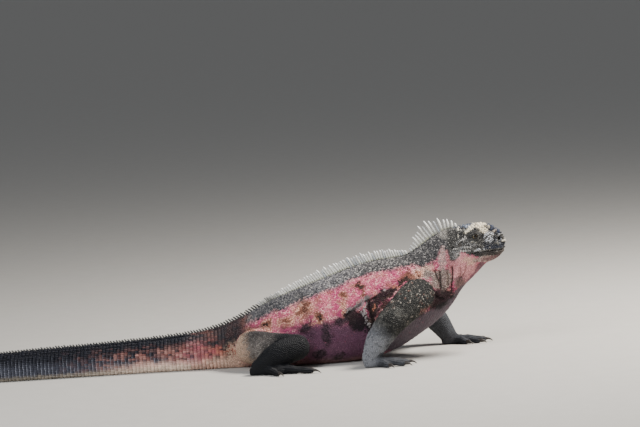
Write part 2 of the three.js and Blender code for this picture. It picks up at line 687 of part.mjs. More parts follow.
const sides = { right: (solid) => solid, left: mirrored };
for (const [side, place] of Object.entries(sides)) {
  show(`eye_${side}`, place(ball(EYE, [1, 1, 1].map(() => EYE_RADIUS), 12)), SKINS.eye);
  show(`ear_${side}`, place(eardrum()), SKINS.eardrum);
}

export default iguana;
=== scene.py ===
"""A marine iguana, life size: an adult male of the red Galapagos race, propped up on its forelegs.

Metres, +Z up. The nose points along +X, and the right side, at -Y, faces the camera.
"""
import math

import bpy
import numpy as np
from mathutils import Matrix, Vector
from mathutils.bvhtree import BVHTree
from mathutils.kdtree import KDTree


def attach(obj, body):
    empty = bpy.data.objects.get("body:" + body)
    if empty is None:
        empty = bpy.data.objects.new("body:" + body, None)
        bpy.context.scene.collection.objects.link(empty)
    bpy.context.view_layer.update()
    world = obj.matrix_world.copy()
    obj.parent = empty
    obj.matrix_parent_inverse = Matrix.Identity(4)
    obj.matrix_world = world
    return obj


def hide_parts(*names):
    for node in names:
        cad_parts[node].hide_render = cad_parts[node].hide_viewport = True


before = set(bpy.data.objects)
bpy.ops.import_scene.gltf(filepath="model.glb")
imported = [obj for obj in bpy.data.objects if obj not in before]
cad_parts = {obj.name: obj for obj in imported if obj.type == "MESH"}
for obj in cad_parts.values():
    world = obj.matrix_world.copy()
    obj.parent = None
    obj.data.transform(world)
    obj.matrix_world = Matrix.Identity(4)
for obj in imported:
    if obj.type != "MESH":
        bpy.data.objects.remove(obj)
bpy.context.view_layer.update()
CHANCE = np.random.default_rng(11)
TURN = 2 * math.pi


# Camera: a long lens, a little above the floor, tilted by a few degrees

LENS = {"length": 200, "target": (0.0357, 0, 0.1777), "distance": 4.267, "elevation": 5, "roll": 0.066}


def add_camera():
    data = bpy.data.cameras.new("camera")
    data.lens = LENS["length"]
    camera = bpy.data.objects.new("camera", data)
    bpy.context.scene.collection.objects.link(camera)
    rise = math.radians(LENS["elevation"])
    away = Vector((0, -math.cos(rise), math.sin(rise)))
    camera.location = Vector(LENS["target"]) + away * LENS["distance"]
    level = Vector((1, 0, 0))
    upright = away.cross(level)
    roll = math.atan(LENS["roll"])
    across = level * math.cos(roll) - upright * math.sin(roll)
    camera.rotation_euler = Matrix((across, away.cross(across), away)).transposed().to_euler()
    bpy.context.scene.camera = camera


add_camera()


# Driving sizes

# Stations along the body, from the tail's tip to the snout: the back and the belly [x, z], the half width,
# the level of the widest line as a share of the height, and how square the slice is above and below it.
STATIONS = {
    "tip": ((-0.590, 0.0050), (-0.590, 0.0004), 0.0022, 0.50, (2.0, 2.0)),
    "tail_end": ((-0.562, 0.0110), (-0.562, -0.0004), 0.0030, 0.48, (1.9, 2.0)),
    "tail_thin": ((-0.505, 0.0205), (-0.505, -0.0006), 0.0042, 0.46, (1.8, 2.1)),
    "tail_rear": ((-0.425, 0.0290), (-0.425, -0.0008), 0.0060, 0.45, (1.8, 2.2)),
    "tail_middle": ((-0.335, 0.0345), (-0.335, -0.0010), 0.0078, 0.45, (1.8, 2.2)),
    "tail_blade": ((-0.245, 0.0370), (-0.245, -0.0010), 0.0098, 0.44, (1.8, 2.2)),
    "tail_front": ((-0.165, 0.0400), (-0.164, -0.0012), 0.0130, 0.44, (1.8, 2.3)),
    "tail_root": ((-0.118, 0.0440), (-0.116, -0.0015), 0.0175, 0.43, (1.8, 2.4)),
    "vent": ((-0.088, 0.0505), (-0.085, -0.0018), 0.0225, 0.43, (1.8, 2.4)),
    "hips": ((-0.059, 0.0620), (-0.052, -0.0022), 0.0310, 0.42, (1.75, 2.5)),
    "loin": ((-0.030, 0.0765), (-0.019, -0.0026), 0.0420, 0.40, (1.7, 2.6)),
    "belly": ((0.006, 0.0895), (0.018, -0.0030), 0.0510, 0.40, (1.7, 2.6)),
    "ribs": ((0.042, 0.1013), (0.054, -0.0026), 0.0540, 0.41, (1.7, 2.5)),
    "chest": ((0.072, 0.1110), (0.088, 0.0016), 0.0530, 0.43, (1.75, 2.3)),
    "withers": ((0.098, 0.1166), (0.119, 0.0110), 0.0490, 0.45, (1.8, 2.2)),
    "shoulders": ((0.120, 0.1184), (0.146, 0.0260), 0.0440, 0.46, (1.85, 2.1)),
    "breast": ((0.138, 0.1220), (0.169, 0.0415), 0.0370, 0.47, (1.9, 2.0)),
    "neck_base": ((0.153, 0.1305), (0.186, 0.0580), 0.0310, 0.49, (1.95, 2.0)),
    "neck": ((0.167, 0.1395), (0.2008, 0.0780), 0.0275, 0.50, (2.0, 2.0)),
    "nape": ((0.180, 0.1465), (0.2145, 0.0908), 0.0260, 0.50, (2.1, 2.0)),
    "occiput": ((0.191, 0.1496), (0.2245, 0.1002), 0.0258, 0.47, (2.3, 2.0)),
    "jowls": ((0.201, 0.1506), (0.231, 0.1062), 0.0256, 0.44, (2.5, 2.0)),
    "cheeks": ((0.213, 0.1508), (0.237, 0.1082), 0.0236, 0.43, (2.6, 2.0)),
    "brow": ((0.226, 0.1508), (0.242, 0.1102), 0.0208, 0.42, (2.6, 2.1)),
    "muzzle": ((0.238, 0.1480), (0.2464, 0.1130), 0.0176, 0.42, (2.5, 2.2)),
    "nose": ((0.2474, 0.1414), (0.2502, 0.1166), 0.0134, 0.44, (2.4, 2.3)),
    "snout": ((0.2522, 0.1340), (0.253, 0.1210), 0.0076, 0.47, (2.3, 2.3)),
}
STATION = {name: place for place, name in enumerate(STATIONS)}
LAST = len(STATIONS) - 1
TAIL_TIP = (-0.593, 0, 0.0016)
SNOUT_TIP = (0.2544, 0, 0.1274)
TAIL_BEND_X = -0.330  # the tail lies straight as far back as this
TAIL_BEND_RADIUS = 0.400  # and then curves to the left

# Limbs: each joint's middle and radius [x, y, z, r]. bend is the elbow or knee, and heading turns the foot.
LIMBS = {
    "foreleg_right": {
        "foot": "fore", "heading": 2, "bend": 3,
        "joints": [
            (0.150, -0.014, 0.080, 0.0200), (0.144, -0.038, 0.075, 0.0200), (0.129, -0.062, 0.065, 0.0183),
            (0.109, -0.080, 0.049, 0.0160), (0.094, -0.085, 0.030, 0.0138), (0.084, -0.087, 0.011, 0.0098),
        ],
    },
    "foreleg_left": {
        "foot": "fore", "heading": -4, "bend": 3,
        "joints": [
            (0.152, 0.014, 0.080, 0.0200), (0.149, 0.038, 0.075, 0.0200), (0.149, 0.062, 0.065, 0.0180),
            (0.156, 0.084, 0.048, 0.0156), (0.171, 0.086, 0.029, 0.0136), (0.183, 0.083, 0.011, 0.0100),
        ],
    },
    "hindleg_right": {
        "foot": "hind", "heading": -6, "bend": 3,
        "joints": [
            (-0.062, -0.004, 0.025, 0.0190), (-0.054, -0.028, 0.025, 0.0200), (-0.032, -0.053, 0.026, 0.018),
            (-0.002, -0.074, 0.0275, 0.0148), (-0.026, -0.086, 0.0205, 0.0144),
            (-0.048, -0.092, 0.009, 0.009),
        ],
    },
    "hindleg_left": {
        "foot": "hind", "heading": 28, "bend": 3,
        "joints": [
            (-0.062, 0.004, 0.025, 0.0190), (-0.056, 0.029, 0.025, 0.0200), (-0.041, 0.058, 0.026, 0.0180),
            (-0.017, 0.082, 0.0275, 0.0148), (-0.043, 0.096, 0.0205, 0.0144), (-0.067, 0.106, 0.009, 0.0090),
        ],
    },
}

# Feet, in their own frame: x along the heading from the wrist or ankle, y towards the body. A digit has its
# root, its angle towards the body and its length.
FEET = {
    "fore": {
        "palm": (0.022, 0.0125, 0.011), "claw": 0.0095,
        "digits": [
            ((0.013, 0.008), 40, 0.013), ((0.019, 0.006), 17, 0.020), ((0.021, 0.001), -3, 0.024),
            ((0.018, -0.005), -23, 0.023), ((0.011, -0.008), -54, 0.016),
        ],
    },
    "hind": {
        "palm": (0.030, 0.011, 0.011), "claw": 0.011,
        "digits": [
            ((0.020, 0.007), 30, 0.013), ((0.026, 0.005), 14, 0.020), ((0.029, 0.001), 1, 0.029),
            ((0.027, -0.004), -12, 0.038), ((0.012, -0.007), -50, 0.021),
        ],
    },
}
SOLE = -0.0012  # the palm's lowest line, which the floor flattens
PALM = [  # shares of the palm's length, half width and height, from the heel to the knuckles
    (-0.36, 0.42, 0.62), (-0.17, 0.72, 0.92), (0.25, 0.84, 1.02), (0.6, 0.98, 0.92), (0.92, 0.96, 0.78),
    (1.08, 0.7, 0.58),
]
DIGIT = [  # share of a digit's length, height over the floor, radius
    (-0.15, 0.0054, 0.0041), (0.1, 0.0056, 0.0035), (0.38, 0.0050, 0.0037), (0.55, 0.0042, 0.0030),
    (0.78, 0.0032, 0.0033), (1, 0.0028, 0.0027), (1.05, 0.0028, 0.0016),
]
CLAW = [  # share of a claw's length from the digit's end, height over the floor, radius
    (-0.3, 0.0030, 0.0014), (0, 0.0036, 0.0019), (0.35, 0.0040, 0.0015), (0.7, 0.0028, 0.0009),
    (0.93, 0.0010, 0.0004), (1, 0.0005, 0.00005),
]

# The face, on the right side; the left side mirrors it.
EYE = np.array((0.2184, -0.0186, 0.1398))
EYE_RADIUS = 0.005
EYE_OPENING = (0.0045, 0.0027)  # half length and half height
LIDS = (0.0086, 0.0059, 0.0068)
EAR = np.array((0.2005, -0.0252, 0.130))
EAR_HALF = (0.0034, 0.0044)
NOSTRIL = np.array((0.2474, -0.0100, 0.1347))
NOSTRIL_TALL = 1.35  # its height over its length
MOUTH = [(0.209, 0.1186), (0.216, 0.1204), (0.226, 0.1214), (0.238, 0.1217), (0.256, 0.1216)]
BOSS = np.array((0.1965, -0.0262, 0.1195))  # the large round scale at the corner of the jaw

# Rows of the crest, between two places given by the back line's x: the pitch, the lean back from the skin's
# normal at the row's two ends in degrees, half a spine's length and thickness at its root, and the spines'
# heights at even steps along the row.
CREST = {
    "crest_tail_tip": {
        "from": -0.586, "to": -0.424, "pitch": 0.0038, "lean": (34, 30), "half": (0.0013, 0.0007),
        "heights": [0.0010, 0.0018, 0.0024, 0.0028, 0.003],
    },
    "crest_tail": {
        "from": -0.420, "to": -0.044, "pitch": 0.0035, "lean": (30, 20), "half": (0.0012, 0.0008),
        "heights": [0.003, 0.0034, 0.0036, 0.0038, 0.0043, 0.0052, 0.0068],
    },
    "crest_back": {
        "from": -0.041, "to": 0.137, "pitch": 0.0030, "lean": (18, 12), "half": (0.0014, 0.0009),
        "heights": [0.0070, 0.0076, 0.0090, 0.0106, 0.0120, 0.0125, 0.0125, 0.0124, 0.0114, 0.0064],
    },
    "crest_neck": {
        "from": 0.1435, "to": 0.197, "pitch": 0.0039, "lean": (7, -5), "half": (0.0015, 0.0011),
        "heights": [0.0055, 0.0090, 0.0142, 0.018, 0.0196, 0.020, 0.0182, 0.0147, 0.0107, 0.0055],
    },
}
WHORL = 0.0044  # a ring of tail scales
SCALE = 0.0018  # pitch of the flank's scales

SKIN_VOXEL = 0.00216  # the fineness of the skin before its face and feet are divided again
FLOOR = 0.0002  # nothing of the animal lies lower
FINGER_PITCH = 0.0021  # plates along a digit
CHEEK_PITCH = 0.0019  # upright scales before the ear
CREST_BASE_PITCH = 0.0024  # cones beside the crest
NECK_END_X = 0.197  # where the crest and its cones end on the back of the head


# Meshes


def clear_selection():
    bpy.ops.object.select_all(action="DESELECT")


def points_of(piece):
    flat = np.empty(len(piece.data.vertices) * 3)
    piece.data.vertices.foreach_get("co", flat)
    return flat.reshape(-1, 3)


def set_points(piece, points):
    piece.data.vertices.foreach_set("co", np.ascontiguousarray(points).ravel())
    piece.data.update()


def normals_of(piece):
    flat = np.empty(len(piece.data.vertices) * 3)
    piece.data.vertex_normals.foreach_get("vector", flat)
    return flat.reshape(-1, 3)


def unit(vectors):
    return vectors / np.maximum(np.linalg.norm(vectors, axis=-1, keepdims=True), 1e-12)


def runs_along(points):
    """How far along a line each of its points lies."""
    return np.concatenate([[0], np.cumsum(np.linalg.norm(np.diff(points, axis=0), axis=1))])


def smooth(values, place):
    """The smooth curve through the given numbers, at places counted in numbers from the first."""
    values = np.asarray(values, float)
    last = len(values) - 1
    first = np.clip(np.floor(place).astype(int), 0, last - 1)
    t = place - first
    ends = [2 * values[0] - values[1]], [2 * values[-1] - values[-2]]
    padded = np.concatenate([ends[0], values, ends[1]])
    a, b, c, d = (padded[first + k] for k in range(4))
    return b + 0.5 * t * (c - a + t * (2 * a - 5 * b + 4 * c - d + t * (3 * (b - c) + d - a)))


def smooth_path(points, steps):
    """A smooth line of the given number of steps through points of any number of coordinates."""
    place = np.linspace(0, len(points) - 1, steps + 1)
    return np.stack([smooth(axis, place) for axis in np.transpose(points)], -1)


def step(low, high, value):
    """0 below low, 1 above high, and smooth between."""
    t = np.clip((value - low) / (high - low), 0, 1)
    return t * t * (3 - 2 * t)


def sheet(name, rings, sides, place):
    """A closed skin: a grid whose points are moved to place(share along, turn round), its ends filled."""
    clear_selection()
    bpy.ops.mesh.primitive_grid_add(x_subdivisions=rings, y_subdivisions=sides, size=2)
    piece = bpy.context.object
    piece.name = name
    flat = points_of(piece)
    set_points(piece, place((flat[:, 0] + 1) / 2, (flat[:, 1] + 1) / 2 * TURN))
    bpy.ops.object.mode_set(mode="EDIT")
    bpy.ops.mesh.select_mode(type="VERT")
    bpy.ops.mesh.select_all(action="SELECT")
    bpy.ops.mesh.remove_doubles(threshold=1e-6)
    bpy.ops.mesh.select_all(action="DESELECT")
    bpy.ops.mesh.select_non_manifold(extend=False)
    bpy.ops.mesh.fill_holes(sides=0)
    bpy.ops.mesh.select_all(action="SELECT")
    bpy.ops.mesh.normals_make_consistent(inside=False)
    bpy.ops.object.mode_set(mode="OBJECT")
    return piece


def apply_modifier(piece, kind, **settings):
    clear_selection()
    piece.select_set(True)
    bpy.context.view_layer.objects.active = piece
    modifier = piece.modifiers.new(kind.lower(), kind)
    for name, value in settings.items():
        setattr(modifier, name, value)
    bpy.ops.object.modifier_apply(modifier=modifier.name)


def joined(name, pieces):
    clear_selection()
    for piece in pieces:
        piece.select_set(True)
    bpy.context.view_layer.objects.active = pieces[0]
    bpy.ops.object.join()
    pieces[0].name = name
    pieces[0].data.name = name
    return pieces[0]


def edges_of(piece):
    flat = np.empty(len(piece.data.edges) * 2, int)
    piece.data.edges.foreach_get("vertices", flat)
    return flat.reshape(-1, 2)


def relax(piece, rounds, share=1.0, pull=(0.5, -0.53)):
    """Draws each point towards its neighbours and then back, which evens a mesh and keeps its size."""
    points, edges = points_of(piece), edges_of(piece)
    count = np.maximum(np.bincount(edges.ravel(), minlength=len(points)), 1)[:, None]
    weight = np.broadcast_to(np.asarray(share, float).reshape(-1, 1), (len(points), 1))
    for amount in list(pull) * rounds:
        total = np.zeros_like(points)
        for here, there in ((0, 1), (1, 0)):
            for axis in range(3):
                total[:, axis] += np.bincount(edges[:, here], points[edges[:, there], axis], len(points))
        points = points + (total / count - points) * amount * weight
    set_points(piece, points)


def subdivide_where(piece, chosen):
    """Halves the faces whose points are all chosen."""
    clear_selection()
    piece.select_set(True)
    bpy.context.view_layer.objects.active = piece
    bpy.ops.object.mode_set(mode="EDIT")
    bpy.ops.mesh.select_mode(type="VERT")
    bpy.ops.mesh.select_all(action="DESELECT")
    bpy.ops.object.mode_set(mode="OBJECT")
    piece.data.vertices.foreach_set("select", chosen)
    bpy.ops.object.mode_set(mode="EDIT")
    bpy.ops.mesh.select_mode(type="FACE")
    bpy.ops.mesh.subdivide(number_cuts=1)
    bpy.ops.object.mode_set(mode="OBJECT")


# The body's own shape

TABLE = list(STATIONS.values())
BACK_X, BACK_Z = np.transpose([row[0] for row in TABLE])
BELLY_X, BELLY_Z = np.transpose([row[1] for row in TABLE])
HALF = [row[2] for row in TABLE]
LEVEL = [row[3] for row in TABLE]
ABOVE, BELOW = np.transpose([row[4] for row in TABLE])


def bent_tail(points):
    """The hind part of the tail curves to the left on the floor."""
    x, y, z = points[..., 0], points[..., 1], points[..., 2]
    turn = (TAIL_BEND_X - x) / TAIL_BEND_RADIUS
    radius = TAIL_BEND_RADIUS - y
    bent = np.stack([TAIL_BEND_X - radius * np.sin(turn), TAIL_BEND_RADIUS - radius * np.cos(turn), z], -1)
    return np.where((x < TAIL_BEND_X)[..., None], bent, points)


def body_point(place, around):
    """A point of the skin. around is 0 on the back line and turns through the left side to the belly."""
    place, around = np.broadcast_arrays(np.asarray(place, float), np.asarray(around, float))
    back = np.stack([smooth(BACK_X, place), smooth(BACK_Z, place)], -1)
    belly = np.stack([smooth(BELLY_X, place), smooth(BELLY_Z, place)], -1)
    height = np.linalg.norm(back - belly, axis=-1)
    up = unit(back - belly)
    level = smooth(LEVEL, place) * height
    c, s = np.cos(around), np.sin(around)
    power = np.where(c > 0, smooth(ABOVE, place), smooth(BELOW, place))
    reach = np.where(c > 0, height - level, level)
    across = smooth(HALF, place) * np.sign(s) * np.abs(s) ** (2 / power)
    rise = level + reach * np.sign(c) * np.abs(c) ** (2 / power)
    middle = belly + up * rise[..., None]
    return bent_tail(np.stack([middle[..., 0], across, middle[..., 1]], -1))


PLACES = np.linspace(0, LAST, 4001)
MIDDLE_LINE = (body_point(PLACES, 0) + body_point(PLACES, math.pi)) / 2
RUNS = runs_along(MIDDLE_LINE)
BACK_LINE = body_point(PLACES, 0)
BACK_RUNS = runs_along(BACK_LINE)
BACK_LINE_X = smooth(BACK_X, PLACES)


def place_at(run):
    return np.interp(run, RUNS, PLACES)


def run_at(place):
    return np.interp(place, PLACES, RUNS)


def on_floor(points):
    points[..., 2] = np.maximum(points[..., 2], FLOOR)
    return points


def body_sheet():
    def place(along, turn):
        points = body_point(place_at(along * RUNS[-1]), turn)
        points[along <= 0] = bent_tail(np.array(TAIL_TIP))
        points[along >= 1] = SNOUT_TIP
        return on_floor(points)

    return sheet("body", 330, 96, place)


class Chart:
    """Finds where on the body's own shape a point lies."""

    rings, sides = 300, 96

    def __init__(self):
        self.places = place_at(np.linspace(0, RUNS[-1], self.rings + 1))
        turns = np.arange(self.sides) / self.sides * TURN
        self.points = body_point(self.places[:, None], turns[None, :])
        steps = np.linalg.norm(np.diff(self.points, axis=1, append=self.points[:, :1]), axis=2)
        left = np.concatenate([np.zeros((len(steps), 1)), np.cumsum(steps, axis=1)[:, :-1]], axis=1)
        self.girth = steps.sum(axis=1)
        self.down = np.minimum(left, self.girth[:, None] - left)
        ring_start = np.arange(self.rings)[:, None] * self.sides
        corner = ring_start + np.arange(self.sides)[None, :]
        after = ring_start + (np.arange(self.sides)[None, :] + 1) % self.sides
        self.quads = np.stack([corner, after, after + self.sides, corner + self.sides], -1).reshape(-1, 4)
        self.tree = BVHTree.FromPolygons(self.points.reshape(-1, 3).tolist(), self.quads.tolist())

    def find(self, points):
        """Each point's place along the body, turn round it, way down from the back line and way off it."""
        found = [self.tree.find_nearest(point) for point in points.tolist()]
        spot = np.array([hit[0] for hit in found])
        face = np.array([hit[2] for hit in found])
        corners = self.quads[face]
        flat = self.points.reshape(-1, 3)[corners]
        near = 1 / (((flat - points[:, None, :]) ** 2).sum(axis=2) + 1e-8)
        near /= near.sum(axis=1, keepdims=True)
        place = (self.places[corners // self.sides] * near).sum(axis=1)
        down = (self.down.ravel()[corners] * near).sum(axis=1)
        turn = (face % self.sides + 0.5) / self.sides
        return place, turn, down, np.linalg.norm(points - spot, axis=1)


# Limbs and feet


def foot_point(limb, forward, side, z):
    """A point of a foot's own frame, set on the floor under its wrist or ankle."""
    x, y = limb["joints"][-1][:2]
    turn = math.radians(limb["heading"])
    inward = side * -math.copysign(1, y)
    return np.stack(np.broadcast_arrays(
        x + forward * math.cos(turn) - inward * math.sin(turn),
        y + forward * math.sin(turn) + inward * math.cos(turn),
        z,
    ), -1)


def frames_along(middles):
    """Two directions across each point of a line, turned as little as may be from one to the next."""
    tangents = unit(np.gradient(middles, axis=0))
    across = unit(np.cross(tangents[0], (0, 0, 1) if abs(tangents[0][2]) < 0.9 else (0, 1, 0)))
    ups, sides = [], []
    for tangent in tangents:
        across = unit(across - tangent * np.dot(across, tangent))
        sides.append(across)
        ups.append(np.cross(across, tangent))
    return np.array(ups), np.array(sides)


def loft(name, middles, ups, acrosses, sides):
    """A closed skin over oval slices, each with its middle and its two half axes."""
    count = len(middles) - 1

    def place(along, turn):
        at = np.rint(along * count).astype(int)
        c, s = np.cos(turn)[:, None], np.sin(turn)[:, None]
        return on_floor(middles[at] + ups[at] * c + acrosses[at] * s)

    return sheet(name, count, sides, place)


def tube(name, points, radii, sides=24, steps=24, domed=False):
    """A round bar along a smooth line, with half a ball at each end if it is domed."""
    line = smooth_path(points, steps)
    radius = smooth_path(np.reshape(radii, (-1, 1)), steps)
    ups, across = frames_along(line)
    if domed:
        away = [unit(line[0] - line[1]), unit(line[-1] - line[-2])]
        angles = np.radians([80, 60, 40, 20])
        first = [line[0] + away[0] * radius[0] * math.sin(a) for a in angles]
        last = [line[-1] + away[1] * radius[-1] * math.sin(a) for a in angles[::-1]]
        line = np.concatenate([first, line, last])
        cosines = np.cos(angles)[:, None]
        radius = np.concatenate([radius[0] * cosines, radius, radius[-1] * cosines[::-1]])
        ups = np.concatenate([ups[:1].repeat(4, 0), ups, ups[-1:].repeat(4, 0)])
        across = np.concatenate([across[:1].repeat(4, 0), across, across[-1:].repeat(4, 0)])
    return loft(name, line, ups * radius, across * radius, sides)


def digit_line(limb, digit, profile, start=0.0, length=None):
    """The middle line of a digit or its claw, and the radii along it."""
    root, angle, reach = digit
    angle = math.radians(angle)
    length = length or reach
    points = [
        foot_point(
            limb, root[0] + (start + run * length) * math.cos(angle),
            root[1] + (start + run * length) * math.sin(angle), z,
        )
        for run, z, _ in profile
    ]
    return np.array(points), [r for _, _, r in profile]


def limb_solids(name, limb):
    joints = np.array(limb["joints"])
    bend = limb["bend"]
    pieces = []
    for part in (joints[: bend + 1], joints[bend:]):
        pieces.append(tube(name, part[:, :3], part[:, 3], steps=16, domed=True))
    foot = FEET[limb["foot"]]
    length, half, height = foot["palm"]
    slices = smooth_path(PALM, 14)
    middle = (slices[:, 2] * height + SOLE) / 2
    rise = (slices[:, 2] * height - SOLE) / 2
    centres = foot_point(limb, slices[:, 0] * length, 0 * middle, middle)
    turn = math.radians(limb["heading"])
    across = np.array((-math.sin(turn), math.cos(turn), 0)) * (slices[:, 1] * half)[:, None]
    pieces.append(loft(name, centres, np.array((0, 0, 1)) * rise[:, None], across, 24))
    for digit in foot["digits"]:
        points, radii = digit_line(limb, digit, DIGIT)
        pieces.append(tube(name, points, radii, sides=16, steps=24))
    return pieces


def limb_chains():
    """Each limb as a chain of points from inside the body to the middle digit's end, with radii."""
    chains = {}
    for name, limb in LIMBS.items():
        joints = np.array(limb["joints"])
        foot = FEET[limb["foot"]]
        palm = foot["palm"][0]
        reach = foot["digits"][2][2]
        ends = [foot_point(limb, palm * 0.8, 0, 0.006), foot_point(limb, palm + reach, 0, 0.004)]
        radii = np.concatenate([joints[:, 3], [0.012, 0.02]])
        chains[name] = np.concatenate([joints[:, :3], ends]), radii
    return chains


CHAINS = limb_chains()


def limb_chart(points):
    """For each point the limb that it is nearest, how far along it from 0 to 1, and the way to the foot."""
    best = np.full(len(points), 1e9)
    which = np.zeros(len(points), int)
    along = np.zeros(len(points))
    way = np.zeros_like(points)
    turn = np.zeros(len(points))
    for index, (line, radii) in enumerate(CHAINS.values()):
        segments = len(line) - 1
        for i in range(segments):
            span = line[i + 1] - line[i]
            t = np.clip((points - line[i]) @ span / (span @ span), 0, 1)
            off = points - (line[i] + t[:, None] * span)
            reach = np.linalg.norm(off, axis=1) / (radii[i] + (radii[i + 1] - radii[i]) * t)
            nearer = reach < best
            best = np.where(nearer, reach, best)
            which = np.where(nearer, index, which)
            along = np.where(nearer, (i + t) / segments, along)
            way[nearer] = span / np.linalg.norm(span)
            side = unit(np.cross(span, (0, 0, 1)))
            turned = np.arctan2(off @ side, off @ unit(np.cross(side, span))) / TURN + 0.5
            turn = np.where(nearer, turned, turn)
    return which, along, way, turn, best


# The skin: one closed surface over body, limbs and feet


def skin_base():
    pieces = [body_sheet()]
    for name, limb in LIMBS.items():
        pieces += limb_solids(name, limb)
    skin = joined("skin", pieces)
    apply_modifier(skin, "REMESH", mode="VOXEL", voxel_size=SKIN_VOXEL, adaptivity=0)
    relax(skin, 5)
    points = points_of(skin)
    off_body, reach = CHART.find(points)[3], limb_chart(points)[4]
    joint = bump(off_body - 0.001, 0.006) * step(1.6, 1.3, reach)
    relax(skin, 14, share=joint, pull=(0.6, -0.15))
    points = points_of(skin)
    head = points[:, 0] > 0.183
    feet = (points[:, 2] < 0.016) & (np.abs(points[:, 1]) > 0.072)
    subdivide_where(skin, head | feet)
    points = points_of(skin)
    relax(skin, 4, share=np.where((points[:, 0] > 0.178) | (points[:, 2] < 0.02), 1.0, 0.0))
    side = right_side(points_of(skin))
    face = (np.linalg.norm(side - EYE, axis=1) < 0.0115) | (np.linalg.norm(side - NOSTRIL, axis=1) < 0.006)
    lips = (np.abs(mouth_off(side)) < 0.0034) & (side[:, 0] > 0.207)
    subdivide_where(skin, face | lips)
    side = right_side(points_of(skin))
    near = np.linalg.norm(side - EYE, axis=1) < 0.0085
    relax(skin, 3, share=np.where(side[:, 0] > 0.205, 1.0, 0.0))
    subdivide_where(skin, near)
    return skin


def right_side(points):
    """The points, with those of the left side mirrored to the right."""
    side = points.copy()
    side[:, 1] = -np.abs(side[:, 1])
    return side


def mouth_off(side):
    """How far a point lies above the mouth's line."""
    line = smooth_path(MOUTH, 60)
    return side[:, 2] - np.interp(side[:, 0], line[:, 0], line[:, 1])


def path_distance(flat, path):
    """The distance of points from a line of straight pieces, in any number of coordinates."""
    best = np.full(len(flat), 1e9)
    for start, end in zip(path[:-1], path[1:]):
        span = end - start
        t = np.clip((flat - start) @ span / (span @ span), 0, 1)
        best = np.minimum(best, np.linalg.norm(flat - (start + t[:, None] * span), axis=1))
    return best


# Folds and swellings of the skin, seen from the side [x, z]: the line, its width, and its height, which is
# below zero for a crease. Those of the limbs touch only them.
FOLDS = [
    {"line": [(0.168, 0.1035), (0.169, 0.0985), (0.1718, 0.09)], "width": 0.001, "height": -0.0026},
    {"line": [(0.174, 0.101), (0.1742, 0.092), (0.1743, 0.082)], "width": 0.0014, "height": -0.0034},
    {"line": [(0.1792, 0.103), (0.1798, 0.093), (0.179, 0.082)], "width": 0.0024, "height": 0.0016},
    {"line": [(0.1832, 0.1), (0.183, 0.092), (0.1822, 0.085)], "width": 0.0008, "height": -0.0018},
    {"line": [(0.189, 0.106), (0.1893, 0.096), (0.1866, 0.08)], "width": 0.0012, "height": -0.0032},
    {"line": [(0.194, 0.105), (0.1942, 0.095), (0.1912, 0.081)], "width": 0.0026, "height": 0.0013},
    {"line": [(0.164, 0.1), (0.1655, 0.093), (0.168, 0.084)], "width": 0.0022, "height": 0.001},
    {"line": [(0.199, 0.104), (0.1985, 0.096), (0.195, 0.086)], "width": 0.001, "height": -0.0013},
    {"line": [(0.206, 0.106), (0.204, 0.098), (0.2, 0.092)], "width": 0.001, "height": -0.001},
    {"line": [(0.148, 0.098), (0.156, 0.086), (0.166, 0.074), (0.176, 0.068)],
     "width": 0.0016, "height": -0.002},
    {"line": [(0.056, 0.064), (0.066, 0.0715), (0.077, 0.0785), (0.09, 0.083)],
     "width": 0.0026, "height": 0.0024},
    {"line": [(0.06, 0.06), (0.07, 0.066), (0.082, 0.073), (0.094, 0.077)],
     "width": 0.0018, "height": -0.0018},
    {"line": [(0.0795, 0.076), (0.0805, 0.062), (0.085, 0.046)], "width": 0.0018, "height": 0.0016},
    {"line": [(0.086, 0.073), (0.088, 0.06), (0.092, 0.046)], "width": 0.0022, "height": -0.0018},
    {"line": [(0.098, 0.088), (0.112, 0.094), (0.128, 0.097)], "width": 0.003, "height": 0.0012},
    {"line": [(0.044, 0.046), (0.052, 0.036), (0.064, 0.028)], "width": 0.003, "height": 0.0012},
    {"line": [(-0.018, 0.047), (-0.004, 0.047), (0.01, 0.04)], "width": 0.0022, "height": -0.0014},
    {"line": [(-0.074, 0.034), (-0.06, 0.046), (-0.04, 0.05)], "width": 0.0022, "height": -0.0012},
    {"line": [(-0.022, 0.074), (-0.012, 0.056), (-0.006, 0.04)], "width": 0.006, "height": 0.0012},
    {"line": [(0.004, 0.084), (0.012, 0.06), (0.016, 0.036)], "width": 0.005, "height": -0.001},
    {"line": [(0.028, 0.09), (0.034, 0.062), (0.036, 0.03)], "width": 0.006, "height": 0.0012},
    {"line": [(0.118, 0.07), (0.102, 0.056), (0.093, 0.04)],
     "width": 0.006, "height": 0.0012, "limb": True},
    {"line": [(0.136, 0.088), (0.148, 0.08), (0.152, 0.066)],
     "width": 0.009, "height": 0.0018, "limb": True},
    {"line": [(-0.052, 0.034), (-0.03, 0.035), (-0.008, 0.034)],
     "width": 0.007, "height": 0.0015, "limb": True},
]
BROW = [(0.2040, 0.1445), (0.2124, 0.1466), (0.2224, 0.1468), (0.2319, 0.1450)]


def folded(points, limb):
    """The height of the folds at each point."""
    side = right_side(points)
    flat = side[:, [0, 2]]
    rise = np.zeros(len(points))
    for fold in FOLDS:
        away = path_distance(flat, smooth_path(fold["line"], 12))
        share = limb if fold.get("limb") else (1 - limb) * step(0.004, 0.012, np.abs(points[:, 1]))
        rise += fold["height"] * bump(away, fold["width"]) * share
    return rise


def crease_shade_depth(points, off_body):
    """How deep in a crease of the skin each point lies, from 0 to 1: the painted shade of the creases."""
    return np.clip(-folded(points, step(0.001, 0.004, off_body)) / 0.0022, 0, 1)


def oval_off(side, middle, half):
    """How far a point is from an oval's middle, seen from the side: 1 is on its edge."""
    return np.hypot((side[:, 0] - middle[0]) / half[0], (side[:, 2] - middle[2]) / half[1])


def bump(distance, width):
    """A soft swelling: 1 in its middle, and falling off over the width."""
    return np.exp(-((distance / width) ** 2))


